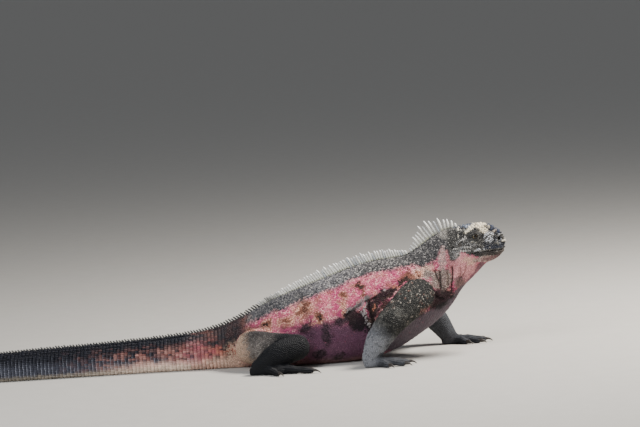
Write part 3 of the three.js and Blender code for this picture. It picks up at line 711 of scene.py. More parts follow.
def raise_to_ball(points, normals, at, half):
    """How far each point inside an oval ball has to move along its normal to lie on it."""
    q = (points - at) / half
    m = normals / half
    a, b, c = (m * m).sum(1), 2 * (q * m).sum(1), (q * q).sum(1) - 1
    root = np.sqrt(np.maximum(b * b - 4 * a * c, 0))
    return np.where(c < 0, (root - b) / (2 * a), 0)


def eye_share(side):
    """How near a point is to the eye's almond opening, seen from the side: below 1 is inside it."""
    u = (side[:, 0] - EYE[0]) / EYE_OPENING[0]
    w = (side[:, 2] - EYE[2] + 0.0002 - u * 0.0004) / EYE_OPENING[1]
    lens = np.maximum(1 - u * u, 0) ** 0.8
    return np.where(np.abs(u) < 1, np.abs(w) / np.maximum(lens, 1e-3), 9)


def nostril_off(side):
    """How far a point is from the nostril's middle, seen from the side. The nostril is taller than long."""
    return np.hypot(side[:, 0] - NOSTRIL[0], (side[:, 2] - NOSTRIL[2]) / NOSTRIL_TALL)


def sculpt(skin):
    """Presses the folds, the face and its openings into the skin."""
    points, normals = points_of(skin), normals_of(skin)
    side, facing = right_side(points), right_side(normals)
    facing[:, 1] = normals[:, 1] * -np.sign(points[:, 1] + 1e-12)
    head = step(0.182, 0.190, side[:, 0])
    off_body = CHART.find(points)[3]
    limb = step(0.001, 0.004, off_body)
    flat = side[:, [0, 2]]
    seen = step(0.15, 0.5, np.abs(normals[:, 1]))
    points += normals * (folded(points, limb) * seen)[:, None]

    lift = raise_to_ball(side, facing, EYE, LIDS)
    brow = path_distance(flat, smooth_path(BROW, 16))
    outer = step(0.006, 0.012, np.abs(side[:, 1]))
    lift = np.maximum(lift, 0.0022 * bump(brow, 0.0026) * outer)
    canthus = path_distance(flat, np.array([(0.2285, 0.1425), (0.238, 0.1405), (0.2455, 0.1375)]))
    lift += 0.0011 * bump(canthus, 0.0024) * outer
    lift = np.maximum(lift, raise_to_ball(side, facing, NOSTRIL + (0, 0.001, 0), (0.0034, 0.0030, 0.0031)))
    jowl = (flat - (0.199, 0.1165)) / (0.014, 0.010)
    lift += 0.0022 * np.exp(-(jowl**2).sum(1)) * outer
    hollow = path_distance(flat, np.array([(0.2290, 0.1335), (0.2380, 0.1300)]))
    lift -= 0.0012 * bump(hollow, 0.004) * outer
    temple = path_distance(flat, np.array([(0.197, 0.1385), (0.206, 0.1365)]))
    lift -= 0.0010 * bump(temple, 0.004) * outer
    above = mouth_off(side)
    ends = step(0.2075, 0.212, side[:, 0])
    lift += 0.0008 * (bump(above - 0.0020, 0.0014) + bump(above + 0.0021, 0.0014)) * ends
    lift -= 0.0016 * bump(above, 0.0006) * ends
    ear = oval_off(side, EAR, EAR_HALF)
    lift -= 0.0026 * (1 - step(0.75, 1.05, ear))
    lift += 0.0008 * bump(ear - 1.22, 0.2)
    points += normals * (lift * head)[:, None]

    inside = (1 - step(0.0010, 0.0019, nostril_off(side))) * (side[:, 1] < -0.004)
    points[:, 1] += np.sign(-points[:, 1]) * inside * 0.0032 * head
    side = right_side(points)
    almond = eye_share(side)
    near = np.linalg.norm(side - EYE, axis=1) < 0.012
    rim = bump(almond - 1.35, 0.3) * near * 0.0006
    points += normals * rim[:, None]
    open_eye = (almond < 1) & near & (side[:, 1] < EYE[1])
    centre = EYE * np.stack([np.ones(len(points)), -np.sign(points[:, 1]), np.ones(len(points))], -1)
    socket = centre + unit(points - centre) * (EYE_RADIUS - 0.0012)
    points[open_eye] = socket[open_eye]
    x, z = points[:, 0], points[:, 2]
    wrinkle = np.sin(x * 900 + z * 500) * np.sin(z * 800 - x * 300)
    points += normals * (wrinkle * 0.00025 * (1 - head) * step(0.004, 0.02, z))[:, None]
    set_points(skin, on_floor(points))


CHART = Chart()
SKIN = skin_base()
sculpt(SKIN)
bpy.context.view_layer.objects.active = SKIN
clear_selection()
SKIN.select_set(True)
bpy.ops.object.shade_smooth()


# Shapes that repeat: each is drawn up once from a ring, and then set all over


def drawn_up(sides, layers, tip):
    """The points and faces of a closed unit shape: a ring drawn up through layers to a tip. A layer is its
    height, its size and its shift to the back."""
    clear_selection()
    height, size, back = layers[0]
    at = (back, 0, height)
    bpy.ops.mesh.primitive_circle_add(vertices=sides, radius=size, fill_type="NGON", location=at)
    piece = bpy.context.object
    bpy.ops.object.mode_set(mode="EDIT")
    bpy.ops.mesh.select_all(action="SELECT")
    for next_height, next_size, next_back in [*layers[1:], (tip[0], size * 0.3, tip[1])]:
        shift = (next_back - back, 0, next_height - height)
        bpy.ops.mesh.extrude_region_move(TRANSFORM_OT_translate={"value": shift})
        ratio = next_size / size
        bpy.ops.transform.resize(value=(ratio, ratio, 1), center_override=(next_back, 0, next_height))
        height, size, back = next_height, next_size, next_back
    bpy.ops.mesh.merge(type="CENTER")
    bpy.ops.mesh.select_all(action="SELECT")
    bpy.ops.mesh.normals_make_consistent(inside=False)
    bpy.ops.object.mode_set(mode="OBJECT")
    bpy.ops.object.transform_apply(location=True, rotation=False, scale=False)
    points = points_of(piece)
    faces = [tuple(face.vertices) for face in piece.data.polygons]
    bpy.data.objects.remove(piece, do_unlink=True)
    return points, faces


SHAPES = {
    "granule": drawn_up(6, [(-0.35, 1.04, 0), (0.38, 0.93, 0.02), (0.82, 0.54, 0.06)], (1, 0.1)),
    "keeled": drawn_up(6, [(-0.3, 1.0, 0), (0.35, 0.86, 0.1), (0.75, 0.5, 0.32)], (1, 0.62)),
    "knob": drawn_up(
        8, [(-0.3, 1.0, 0), (0.1, 1.0, 0), (0.34, 0.88, 0.02), (0.64, 0.66, 0.06), (0.88, 0.38, 0.1)],
        (1, 0.12),
    ),
    "plate": drawn_up(8, [(-0.3, 1.0, 0), (0.55, 0.9, 0), (0.9, 0.6, 0.03)], (1, 0.06)),
    "spine": drawn_up(
        8,
        [(-0.2, 1.1, 0), (0.1, 1.05, 0), (0.4, 0.95, 0.04), (0.7, 0.82, 0.16), (0.88, 0.64, 0.3),
         (0.97, 0.36, 0.42)],
        (1, 0.5),
    ),
}
PIECES = []
MARKED_AND_SHADED_BY = ("tone", "drop", "limb", "along", "crease")


def give_values(mesh, values, roots):
    """Stores for each point what the markings and the painted shade read: numbers, and the root of its scale.
    """
    for key, value in values.items():
        mesh.attributes.new(key, "FLOAT", "POINT").data.foreach_set("value", value.astype(np.float32))
    data = mesh.attributes.new("root", "FLOAT_VECTOR", "POINT").data
    data.foreach_set("vector", roots.astype(np.float32).ravel())


def stamped(name, shape, roots, slot, twist=0.0):
    """One mesh with the shape set at each root. roots holds arrays: at, out, lie, half (length, width and
    height), what the markings and the painted shade read, and the place on the unwrap of the skin's own
    shape."""
    base, faces = SHAPES[shape]
    count, each = len(roots["at"]), len(base)
    out = unit(roots["out"])
    lie = unit(roots["lie"] - out * (roots["lie"] * out).sum(1, keepdims=True))
    turn = twist * (2 * CHANCE.random((count, 1)) - 1)
    lie = lie * np.cos(turn) + np.cross(out, lie) * np.sin(turn)
    across = np.cross(out, lie)
    half = roots["half"]
    points = roots["at"][:, None, :]
    for axis, way in enumerate((lie, across, out)):
        points = points + way[:, None, :] * (base[:, axis] * half[:, axis, None])[..., None]
    points = on_floor(points.reshape(-1, 3))
    mesh = bpy.data.meshes.new(name)
    mesh.vertices.add(len(points))
    mesh.vertices.foreach_set("co", points.ravel())
    corners = np.concatenate([np.array(face) for face in faces])
    loops = (np.arange(count)[:, None] * each + corners[None, :]).ravel()
    starts = np.cumsum([0] + [len(face) for face in faces])
    mesh.loops.add(len(loops))
    mesh.loops.foreach_set("vertex_index", loops)
    mesh.polygons.add(count * len(faces))
    begin = (np.arange(count)[:, None] * len(corners) + starts[None, :-1]).ravel()
    mesh.polygons.foreach_set("loop_start", begin)
    mesh.update(calc_edges=True)
    mesh.polygons.foreach_set("use_smooth", np.ones(count * len(faces), bool))
    values = {key: np.repeat(roots[key], each) for key in MARKED_AND_SHADED_BY}
    values["rise"] = np.tile(np.clip(base[:, 2], 0, 1), count)
    if name == "scales_cheeks":
        values["pale"] = np.ones(count * each)
    if shape in ("spine", "keeled"):
        values["backward"] = np.tile(base[:, 0], count)
    give_values(mesh, values, np.repeat(roots["at"], each, axis=0))
    patch = 0.0015
    local = base[:, :2] / max(np.abs(base[:, :2]).max(), 1) * patch
    flat = roots["unwrap"][:, None, :] * (1 - 4 * patch) + 2 * patch + local[None, :, :]
    uv = mesh.uv_layers.new(name="OFBake")
    uv.data.foreach_set("uv", flat.reshape(-1, 2)[loops].astype(np.float32).ravel())
    piece = bpy.data.objects.new(name, mesh)
    bpy.context.scene.collection.objects.link(piece)
    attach(piece, "root")
    PIECES.append(piece)
    return piece


# Where the scales grow

SKIN_TREE = BVHTree.FromObject(SKIN, bpy.context.evaluated_depsgraph_get())


def nearest_skin(points):
    found = [SKIN_TREE.find_nearest(point) for point in points.tolist()]
    at = np.array([hit[0] for hit in found])
    out = np.array([hit[1] for hit in found])
    return at, out, np.linalg.norm(points - at, axis=1)


def seen_skin(points, sign):
    """Where rays from beside the head, to its left or right, meet the skin."""
    hits = [SKIN_TREE.ray_cast(point, (0, sign, 0)) for point in points.tolist()]
    hits = [hit for hit in hits if hit[0] is not None]
    return (np.array([hit[k] for hit in hits]) for k in (0, 1))


class Taken:
    """Keeps the roots of the scales apart."""

    cell = 0.005

    def __init__(self):
        self.grid = {}

    def admit(self, points, gaps):
        """Which of the points keep their gap from all those taken before them. They are then taken."""
        keep = np.zeros(len(points), bool)
        cells = np.floor(points / self.cell).astype(int).tolist()
        reach = range(-1, 2)
        for i, (point, (a, b, c), gap) in enumerate(zip(points.tolist(), cells, gaps.tolist())):
            x, y, z = point
            clear = True
            for key in ((a + u, b + v, c + w) for u in reach for v in reach for w in reach):
                for px, py, pz, other in self.grid.get(key, ()):
                    near = min(gap, other) if gap * 1.6 > other else (gap + other) / 2
                    if (px - x) ** 2 + (py - y) ** 2 + (pz - z) ** 2 < near * near:
                        clear = False
                        break
                if not clear:
                    break
            if clear:
                keep[i] = True
                self.grid.setdefault((a, b, c), []).append((x, y, z, gap))
        return keep


TAKEN = Taken()


def evened(at, out, gaps, fixed, rounds=5):
    """Pushes roots off their neighbours, so that they lie evenly, and finds half the way to the nearest."""
    for turn in range(rounds + 1):
        tree = KDTree(len(at) + len(fixed))
        everyone = np.concatenate([at, fixed])
        for index, point in enumerate(everyone.tolist()):
            tree.insert(point, index)
        tree.balance()
        near = np.array([[hit[1] for hit in tree.find_n(point, 6)] for point in at.tolist()])
        away = at[:, None, :] - everyone[near]
        distance = np.linalg.norm(away, axis=2)
        if turn == rounds:
            return at, out, np.sort(distance, axis=1)[:, 1:5].mean(axis=1) / 2
        push = np.maximum(1.3 * gaps[:, None] - distance, 0) * (distance > 1e-6) / np.maximum(distance, 1e-6)
        at, out, _ = nearest_skin(at + 0.3 * (away * push[..., None]).sum(axis=1))


def with_chart(roots):
    """Adds what the markings, the painted shade and the unwrap need to the roots of scales."""
    place, turn, down, away = CHART.find(roots["at"])
    which, along, way, round_limb, _ = limb_chart(roots["at"])
    roots["place"], roots["down"] = place, down
    roots["drop"] = smooth(BACK_Z, place) - roots["at"][:, 2]
    roots["crease"] = crease_shade_depth(roots["at"], away)
    roots["limb"] = step(0.0012, 0.0055, away)
    roots["along"], roots["which"], roots["way"] = along, which, way
    roots["unwrap"] = np.stack([run_at(place) / RUNS[-1], turn], -1)
    roots["round"] = np.stack([along, round_limb], -1)
    roots["tone"] = CHANCE.random(len(place))
    return roots


def chosen(roots, mask):
    return {key: value[mask] for key, value in roots.items()}


def settled(roots, gap):
    """Those of the roots that find room. They are then taken."""
    return chosen(roots, TAKEN.admit(roots["at"], np.broadcast_to(gap, len(roots["at"]))))


def merged(*groups):
    return {key: np.concatenate([group[key] for group in groups]) for key in groups[0]}


def body_rows(first, last, pitch, width, offset=0.5, jitter=0.0):
    """Rows of roots round the body between two stations. Each row is turned half a scale from the last."""
    runs = np.arange(run_at(STATION[first]), run_at(STATION[last]), pitch)
    turns = np.linspace(0, TURN, 361)
    places, arounds = [], []
    for i, place in enumerate(place_at(runs)):
        ring = body_point(place, turns)
        lengths = runs_along(ring)
        count = max(int(round(lengths[-1] / width / 2)) * 2, 8)
        at = (np.arange(count) + 0.5 + offset * (i % 2)) / count * lengths[-1]
        arounds.append(np.interp(at % lengths[-1], lengths, turns))
        places.append(np.full(count, place))
    place, around = np.concatenate(places), np.concatenate(arounds)
    place = place + CHANCE.normal(0, jitter, len(place))
    around = around + CHANCE.normal(0, 0.006, len(around)) * (jitter > 0)
    at, out, away = nearest_skin(on_floor(body_point(place, around)))
    lie = body_point(np.maximum(place - 0.03, 0), around) - body_point(place, around)
    good = (away < 0.0028) & ((at[:, 2] > 0.0006) | (out[:, 2] > -0.5))
    return {"at": at[good], "out": out[good], "lie": lie[good]}


def sized(roots, length, width, height, vary=0.12):
    """Gives the roots their half sizes, no two quite alike."""
    count = len(roots["at"])
    wave = 1 + vary * (2 * CHANCE.random((count, 1)) - 1)
    sizes = np.stack(np.broadcast_arrays(length, width, height, np.zeros(count))[:3], -1)
    roots["half"] = sizes * wave
    return roots


def tail_scales():
    """Rings of keeled scales round the tail, each ring's edge raised over the next."""
    roots = with_chart(body_rows("tip", "vent", WHORL, 0.0022, offset=0))
    front = step(STATION["tail_front"], STATION["vent"], roots["place"])
    keep = (roots["limb"] < 0.5) & (roots["down"] > 0.0010)
    small = 0.55 + 0.45 * step(0, STATION["tail_rear"], roots["place"])
    sized(roots, 0.0029 - 0.0008 * front, 0.0018 * small, (0.0013 - 0.0004 * front) * small)
    roots = chosen(roots, keep)
    return settled(roots, 0.0012)


def trunk_scales(roots, length, width, height, vary):
    """Rows of granules, apart from where a limb or the crest begins."""
    roots = with_chart(roots)
    roots = chosen(roots, (roots["limb"] < 0.6) & (roots["down"] > 0.0012))
    sized(roots, SCALE * length, SCALE * width, height, vary)
    return settled(roots, SCALE * 0.7)


def neck_scales():
    rows = body_rows("neck_base", "nape", SCALE * 0.95, SCALE, jitter=0.012)
    return trunk_scales(rows, 0.59, 0.54, 0.0009, 0.18)


def flank_scales():
    rows = body_rows("vent", "neck_base", SCALE, SCALE * 1.03, jitter=0.008)
    return trunk_scales(rows, 0.6, 0.55, 0.00085, 0.16)


def crest_base_scales():
    """A row of larger cones along each side of the crest."""
    stop = np.interp(NECK_END_X, BACK_LINE_X, BACK_RUNS)
    place = np.interp(np.arange(0.02, stop, CREST_BASE_PITCH), BACK_RUNS, PLACES)
    groups = []
    for sign, ways in ((-1, (0.0021, 0.0040)), (1, (0.0021, 0.0040)), (0, (0,))):
        for row, way_down in enumerate(ways):
            girth = np.linalg.norm(body_point(place, 0.02) - body_point(place, 0), axis=1) / 0.02
            around = sign * way_down / np.maximum(girth, 1e-4)
            at, out, _ = nearest_skin(body_point(place + row * 0.01, around))
            lie = body_point(place - 0.03, around) - body_point(place, around)
            group = {"at": at, "out": out, "lie": lie}
            small = step(0, STATION["tail_blade"], place)
            sized(group, 0.0014, 0.0011 - row * 0.0002, (0.0016 - row * 0.0004) * (0.4 + 0.6 * small))
            groups.append(group)
    return settled(with_chart(merged(*groups)), 0.0014)


def mouth_path(offset):
    """Points of the head's skin along the mouth, from the right corner round the snout to the left one."""
    turns = np.linspace(-math.pi + 0.05, -0.3, 400)
    line = smooth_path(MOUTH, 60)
    path = []
    for place in np.linspace(STATION["cheeks"] - 1.2, LAST, 90):
        ring = body_point(place, turns)
        level = np.interp(ring[:, 0], line[:, 0], line[:, 1]) + offset
        path.append(ring[np.argmin(np.abs(ring[:, 2] - level))])
    path = np.array([p for p in path if p[0] > MOUTH[0][0] - 0.001])
    whole = np.concatenate([path, (path * (1, -1, 1))[::-1]])
    return whole, runs_along(whole)


def lip_scales():
    """The rows of flat scales along both lips."""
    groups = []
    for offset, pitch, high in ((0.0016, 0.0026, 0.0011), (-0.0017, 0.0024, 0.0011), (0.0038, 0.0023, 0.001)):
        path, lengths = mouth_path(offset)
        at_lengths = np.arange(pitch / 2, lengths[-1], pitch)
        points = np.stack([np.interp(at_lengths, lengths, axis) for axis in path.T], -1)
        lie = -np.gradient(points, axis=0) * np.sign(-points[:, 1:2] + 1e-9)
        at, out, _ = nearest_skin(points)
        groups.append(sized({"at": at, "out": out, "lie": lie}, pitch * 0.56, high, 0.0006))
    return settled(with_chart(merged(*groups)), 0.0014)


def lid_scales():
    """Rings of beads round each eye's opening, larger towards the edge of the orbit."""
    groups = []
    for sign in (1, -1):
        for out_share in (0.06, 0.19, 0.34, 0.50, 0.68, 0.88):
            wide = EYE_OPENING[0] * 1.02 + (LIDS[0] - EYE_OPENING[0]) * out_share
            tall = EYE_OPENING[1] * 1.02 + (LIDS[2] - 0.0004 - EYE_OPENING[1]) * out_share
            size = 0.00034 + 0.00036 * out_share
            count = int(math.pi * (wide + tall) / size / 2.05)
            turn = (np.arange(count) + CHANCE.random()) / count * TURN
            narrow = np.abs(np.sin(turn)) ** (0.3 * (1 - out_share))
            x = EYE[0] + wide * np.cos(turn)
            z = EYE[2] + tall * np.sin(turn) * narrow
            start = np.stack([x, np.full(count, sign * EYE[1] * 1.7), z], -1)
            at, out = seen_skin(start, sign)
            lie = np.stack([at[:, 2] - EYE[2], 0 * at[:, 0], EYE[0] - at[:, 0]], -1)
            groups.append(sized({"at": at, "out": out, "lie": lie}, size * 1.2, size, size * 0.9, vary=0.12))
    roots = with_chart(merged(*groups))
    return settled(roots, roots["half"][:, 0] * 1.35)


def digit_scales():
    """Rows of plates over the top and the sides of each digit."""
    groups = []
    for limb in LIMBS.values():
        for digit in FEET[limb["foot"]]["digits"]:
            points, radii = digit_line(limb, digit, DIGIT)
            line = smooth_path(points, 40)
            radius = smooth_path(np.reshape(radii, (-1, 1)), 40)[:, 0]
            lengths = runs_along(line)
            at_lengths = np.arange(0.003, lengths[-1] - 0.0008, FINGER_PITCH)
            middle = np.stack([np.interp(at_lengths, lengths, axis) for axis in line.T], -1)
            r = np.interp(at_lengths, lengths, radius)
            way = unit(line[-1] - line[0])
            across = unit(np.cross(way, (0, 0, 1)))
            for angle, wide in ((0, 0.0021), (52, 0.0016), (-52, 0.0016), (95, 0.0013), (-95, 0.0013)):
                a = math.radians(angle)
                aim = np.array((0, 0, 1)) * math.cos(a) + across * math.sin(a)
                at, out, _ = nearest_skin(middle + aim * r[:, None])
                row = {"at": at, "out": out, "lie": np.tile(way, (len(at), 1))}
                groups.append(sized(row, 0.0016, wide * 0.72, 0.0007, vary=0.05))
    return settled(with_chart(merged(*groups)), 0.0013)


def boss_scales():
    """The large round scale under each ear, with its ring."""
    groups = []
    for sign in (1, -1):
        turn = np.arange(13) / 13 * TURN
        ring = BOSS + np.stack([np.cos(turn), 0 * turn, np.sin(turn)], -1) * 0.0036
        at, out, _ = nearest_skin(np.concatenate([BOSS[None], ring]) * (1, sign, 1))
        radius = np.concatenate([[0.0027], np.full(13, 0.00085)])
        height = np.concatenate([[0.0019], np.full(13, 0.0007)])
        lie = np.tile((-1.0, 0, 0), (14, 1))
        groups.append(sized({"at": at, "out": out, "lie": lie}, radius, radius, height, vary=0))
    roots = with_chart(merged(*groups))
    roots["tone"][:] = 0.95
    return settled(roots, roots["half"][:, 0] * 1.3)


def cheek_scales():
    """Upright narrow scales in front of each ear."""
    rows = ((0.1990, 8, 0.1277, 0.0020), (0.2000, 7, 0.1236, 0.0016), (0.1925, 3, 0.1266, 0.0016))
    groups = []
    for sign in (1, -1):
        for first, count, level, tall in rows:
            x = first + CHEEK_PITCH * np.arange(count)
            z = level + 0.0003 * (np.arange(count) % 2)
            at, out = seen_skin(np.stack([x, np.full(count, -sign * 0.05), z], -1), sign)
            lie = np.tile((0.1, 0, -1.0), (count, 1))
            groups.append(sized({"at": at, "out": out, "lie": lie}, tall, 0.00062, 0.0010, vary=0.1))
    roots = with_chart(merged(*groups))
    for end in (0.0012, -0.0012):
        TAKEN.admit(roots["at"] + (0, 0, end), np.full(len(roots["at"]), 0.0009))
    return roots


def scale_gap(at, place, down, away):
    """The distance between scales, by where on the animal they are."""
    side = right_side(at)
    gap = np.full(len(at), 0.0019)
    limb = away > 0.003
    foot = limb & (at[:, 2] < 0.016)
    gap = np.where(limb, 0.0018, gap)
    gap = np.where(foot, 0.0016, gap)
    head = side[:, 0] > 0.186
    crown = 1 - step(0.013, 0.019, down)
    front = step(STATION["occiput"], STATION["cheeks"], place)
    top = (0.0019 + 0.0023 * front) * crown + 0.0017 * (1 - crown)
    snout = step(STATION["muzzle"], STATION["snout"], place)
    top = top * (1 - snout) + (0.0021 + 0.0012 * step(0.1375, 0.1415, side[:, 2])) * snout
    below = (side[:, 2] < 0.1175) & head
    gap = np.where(head, top, gap)
    gap = np.where(below, 0.0016, gap)
    return np.where((oval_off(side, EYE, LIDS[::2]) < 1.05) & head, 0.00105, gap)


def scattered():
    """Roots all over the skin, wherever no row has taken the place."""
    mesh = SKIN.data
    mesh.calc_loop_triangles()
    flat = np.empty(len(mesh.loop_triangles) * 3, int)
    mesh.loop_triangles.foreach_get("vertices", flat)
    corners = points_of(SKIN)[flat.reshape(-1, 3)]
    normals = normals_of(SKIN)[flat.reshape(-1, 3)]
    area = np.linalg.norm(np.cross(corners[:, 1] - corners[:, 0], corners[:, 2] - corners[:, 0]), axis=1) / 2
    middle = corners.mean(axis=1)
    place, _, down, away = CHART.find(middle)
    gap = scale_gap(middle, place, down, away)
    rows = (place < STATION["nape"]) & (away < 0.0012)
    sole = (middle[:, 2] < 0.0008) & (normals[:, :, 2].mean(axis=1) < -0.6)
    tail = (place < STATION["vent"]) & rows
    wanted = 9 * area / gap**2 * np.where(rows, 0.35, 1) * ~sole * ~tail
    count = np.floor(wanted + CHANCE.random(len(wanted))).astype(int)
    index = CHANCE.permutation(np.repeat(np.arange(len(area)), count))
    share = CHANCE.random((len(index), 2))
    fold = share.sum(axis=1) > 1
    share[fold] = 1 - share[fold]
    weights = np.stack([1 - share.sum(axis=1), share[:, 0], share[:, 1]], -1)[..., None]
    at = (corners[index] * weights).sum(axis=1)
    out = unit((normals[index] * weights).sum(axis=1))
    side = right_side(at)
    hole = nostril_off(side) < 0.0020
    ear = oval_off(side, EAR, EAR_HALF) < 0.9
    eye = (eye_share(side) < 1.15) & (np.linalg.norm(side - EYE, axis=1) < 0.0085)
    mouth = (np.abs(mouth_off(side)) < 0.0006) & (side[:, 0] > 0.2085)
    skull = side[:, 0] > 0.2
    free = ~((hole | mouth | ear | eye) & skull)
    at, out, index = at[free], out[free], index[free]
    fixed = np.array([row[:3] for cell in TAKEN.grid.values() for row in cell])
    keep = TAKEN.admit(at, gap[index] * 0.92)
    at, out, room = evened(at[keep], out[keep], gap[index][keep], fixed)
    roots = with_chart({"at": at, "out": out})
    roots["gap"], roots["room"] = gap[index][keep], room
    back = np.array((-1.0, 0, 0)) + np.zeros_like(roots["at"])
    roots["lie"] = back * (1 - roots["limb"][:, None]) + roots["way"] * roots["limb"][:, None]
    return roots


def scatter_pieces():
    roots = scattered()
    room = np.clip(roots["room"], roots["gap"] * 0.42, roots["gap"] * 0.85)
    head = (roots["at"][:, 0] > 0.186) & (roots["limb"] < 0.9) & (roots["place"] > STATION["nape"] - 0.4)
    limb = ~head & (roots["limb"] > 0.35)
    crown = head & (roots["gap"] > 0.0021)
    front = step(STATION["occiput"], STATION["brow"], roots["place"])
    top = 0.0013 + 0.0023 * front * (1 - step(0.009, 0.018, roots["down"]))
    height = np.where(crown, top, np.where(head, 0.0003 + room * 0.62, np.where(limb, room * 0.66, 0.0008)))
    vary = np.where(crown, 0.18, 0.08)[:, None]
    sized(roots, room * np.where(limb, 1.2, 1.1), room * 1.06, height, vary)
    roots["unwrap"] = np.where(limb[:, None], roots["round"], roots["unwrap"])
    stamped("scales_crown", "knob", chosen(roots, crown), "skin_head", 3)
    stamped("scales_head", "granule", chosen(roots, head & ~crown), "skin_head", 0.6)
    stamped("scales_joins", "granule", chosen(roots, ~head & ~limb), "skin_flank", 0.6)
    for index, name in enumerate(LIMBS):
        stamped("scales_" + name, "keeled", chosen(roots, limb & (roots["which"] == index)), "skin_leg", 0.25)


def all_scales():
    """All the scales, the ones that must keep their place first."""
    for name, shape, scales, slot, twist in (
        ("boss", "knob", boss_scales, "skin_head", 0),
        ("lips", "plate", lip_scales, "skin_head", 0),
        ("lids", "granule", lid_scales, "skin_head", 0),
        ("cheeks", "plate", cheek_scales, "skin_head", 0),
        ("crest_base", "keeled", crest_base_scales, "skin_flank", 0),
        ("tail", "keeled", tail_scales, "skin_tail", 0),
        ("neck", "granule", neck_scales, "skin_neck", 0.5),
    ):
        stamped("scales_" + name, shape, scales(), slot, twist)
    flank = flank_scales()
    right = flank["at"][:, 1] < 0
    for half, fore in (("rear", flank["at"][:, 0] < 0.03), ("front", flank["at"][:, 0] >= 0.03)):
        for side, own in (("_right", fore & right), ("_left", fore & ~right)):
            stamped("scales_" + half + side, "granule", chosen(flank, own), "skin_flank", 0.5)
    digits = digit_scales()
    digits["unwrap"] = digits["round"] * (1, 0.25) + np.stack([0 * digits["along"], digits["which"] / 4], -1)
    stamped("scales_digits", "plate", digits, "skin_foot")
    scatter_pieces()


all_scales()


# Crest


def crest_rows():
    for name, row in CREST.items():
        first, last = (np.interp(row[end], BACK_LINE_X, BACK_RUNS) for end in ("from", "to"))
        count = round((last - first) / row["pitch"])
        share = np.arange(count + 1) / count
        place = np.interp(first + (last - first) * share, BACK_RUNS, PLACES)
        height = smooth(row["heights"], share * (len(row["heights"]) - 1))
        wave = 0.09 * np.sin(np.arange(count + 1) * 2.4)
        height = height * (1 + wave + 0.05 * CHANCE.normal(size=count + 1))
        at = body_point(place, 0)
        back = unit(body_point(place - 0.02, 0) - at)
        side = unit(np.cross((0, 0, 1), back))
        normal = np.cross(back, side)
        start, end = row["lean"]
        lean = np.radians(start + (end - start) * share + CHANCE.normal(0, 2, count + 1))
        out = normal * np.cos(lean)[:, None] + back * np.sin(lean)[:, None]
        out = out + side * CHANCE.normal(0, 0.03, (count + 1, 1))
        half = np.stack(np.broadcast_arrays(*row["half"], height), -1)
        roots = with_chart({"at": at, "out": out, "lie": back, "half": half})
        roots["limb"] = 0 * roots["limb"]
        stamped(name, "spine", roots, "crest")


crest_rows()


# Eyes, eardrums and claws


def ball(name, at, half):
    clear_selection()
    bpy.ops.mesh.primitive_uv_sphere_add(segments=40, ring_count=24, radius=1)
    piece = bpy.context.object
    piece.name = name
    set_points(piece, points_of(piece) * half + at)
    bpy.ops.object.shade_smooth()
    return piece


def eyes_and_ears():
    made = []
    for name, sign in (("right", 1), ("left", -1)):
        eye = ball("eyeball_" + name, EYE * (1, sign, 1), (EYE_RADIUS,) * 3)
        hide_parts("eye_" + name)
        half = (EAR_HALF[0] * 0.88, 0.0006, EAR_HALF[1] * 0.88)
        drum = ball("eardrum_" + name, (EAR + (0, 0.0019, 0)) * (1, sign, 1), half)
        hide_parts("ear_" + name)
        made += [eye, drum]
    for piece in made:
        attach(piece, "root")
    return made


def claws():
    for name, limb in LIMBS.items():
        foot = FEET[limb["foot"]]
        pieces = []
        for digit in foot["digits"]:
            points, radii = digit_line(limb, digit, CLAW, start=digit[2], length=foot["claw"])
            pieces.append(tube(name, points, radii, sides=12, steps=16))
        piece = joined("claws_" + name, pieces)
        bpy.ops.object.shade_smooth()
        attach(piece, "root")
        yield piece


EYES_AND_EARS = eyes_and_ears()
CLAWS = list(claws())

NODES = [
    "tail_tip", "tail_blade", "tail_root", "torso", "neck", "head",
    *(part + side for part in ("upper_arm_", "forearm_", "forefoot_", "thigh_", "shank_", "hindfoot_")
      for side in ("right", "left")),
]
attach(SKIN, "root")
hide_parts(*NODES)


def mark_skin():
    """Gives the skin the values that its markings and its painted shade read."""
    roots = with_chart({"at": points_of(SKIN)})
    roots["tone"][:] = 0.4
    values = {key: roots[key] for key in MARKED_AND_SHADED_BY}
    give_values(SKIN.data, {**values, "rise": 0 * roots["tone"]}, roots["at"])


mark_skin()


# Finishes


def colour(code):
    """A hex code as a linear colour."""
    parts = [int(code[i : i + 2], 16) / 255 for i in (0, 2, 4)]
    return (*[p / 12.92 if p <= 0.04045 else ((p + 0.055) / 1.055) ** 2.4 for p in parts], 1)


class Value:
    """A socket with arithmetic: an expression adds its Math nodes."""

    def __init__(self, finish, socket):
        self.finish, self.socket = finish, socket

    def __add__(self, other):
        return self.finish.math("ADD", self, other)

    def __sub__(self, other):
        return self.finish.math("SUBTRACT", self, other)

    def __rsub__(self, other):
        return self.finish.math("SUBTRACT", other, self)

    def __mul__(self, other):
        return self.finish.math("MULTIPLY", self, other)

    def __truediv__(self, other):
        return self.finish.math("DIVIDE", self, other)

    def __pow__(self, other):
        return self.finish.math("POWER", self, other)

    __radd__ = __add__
    __rmul__ = __mul__


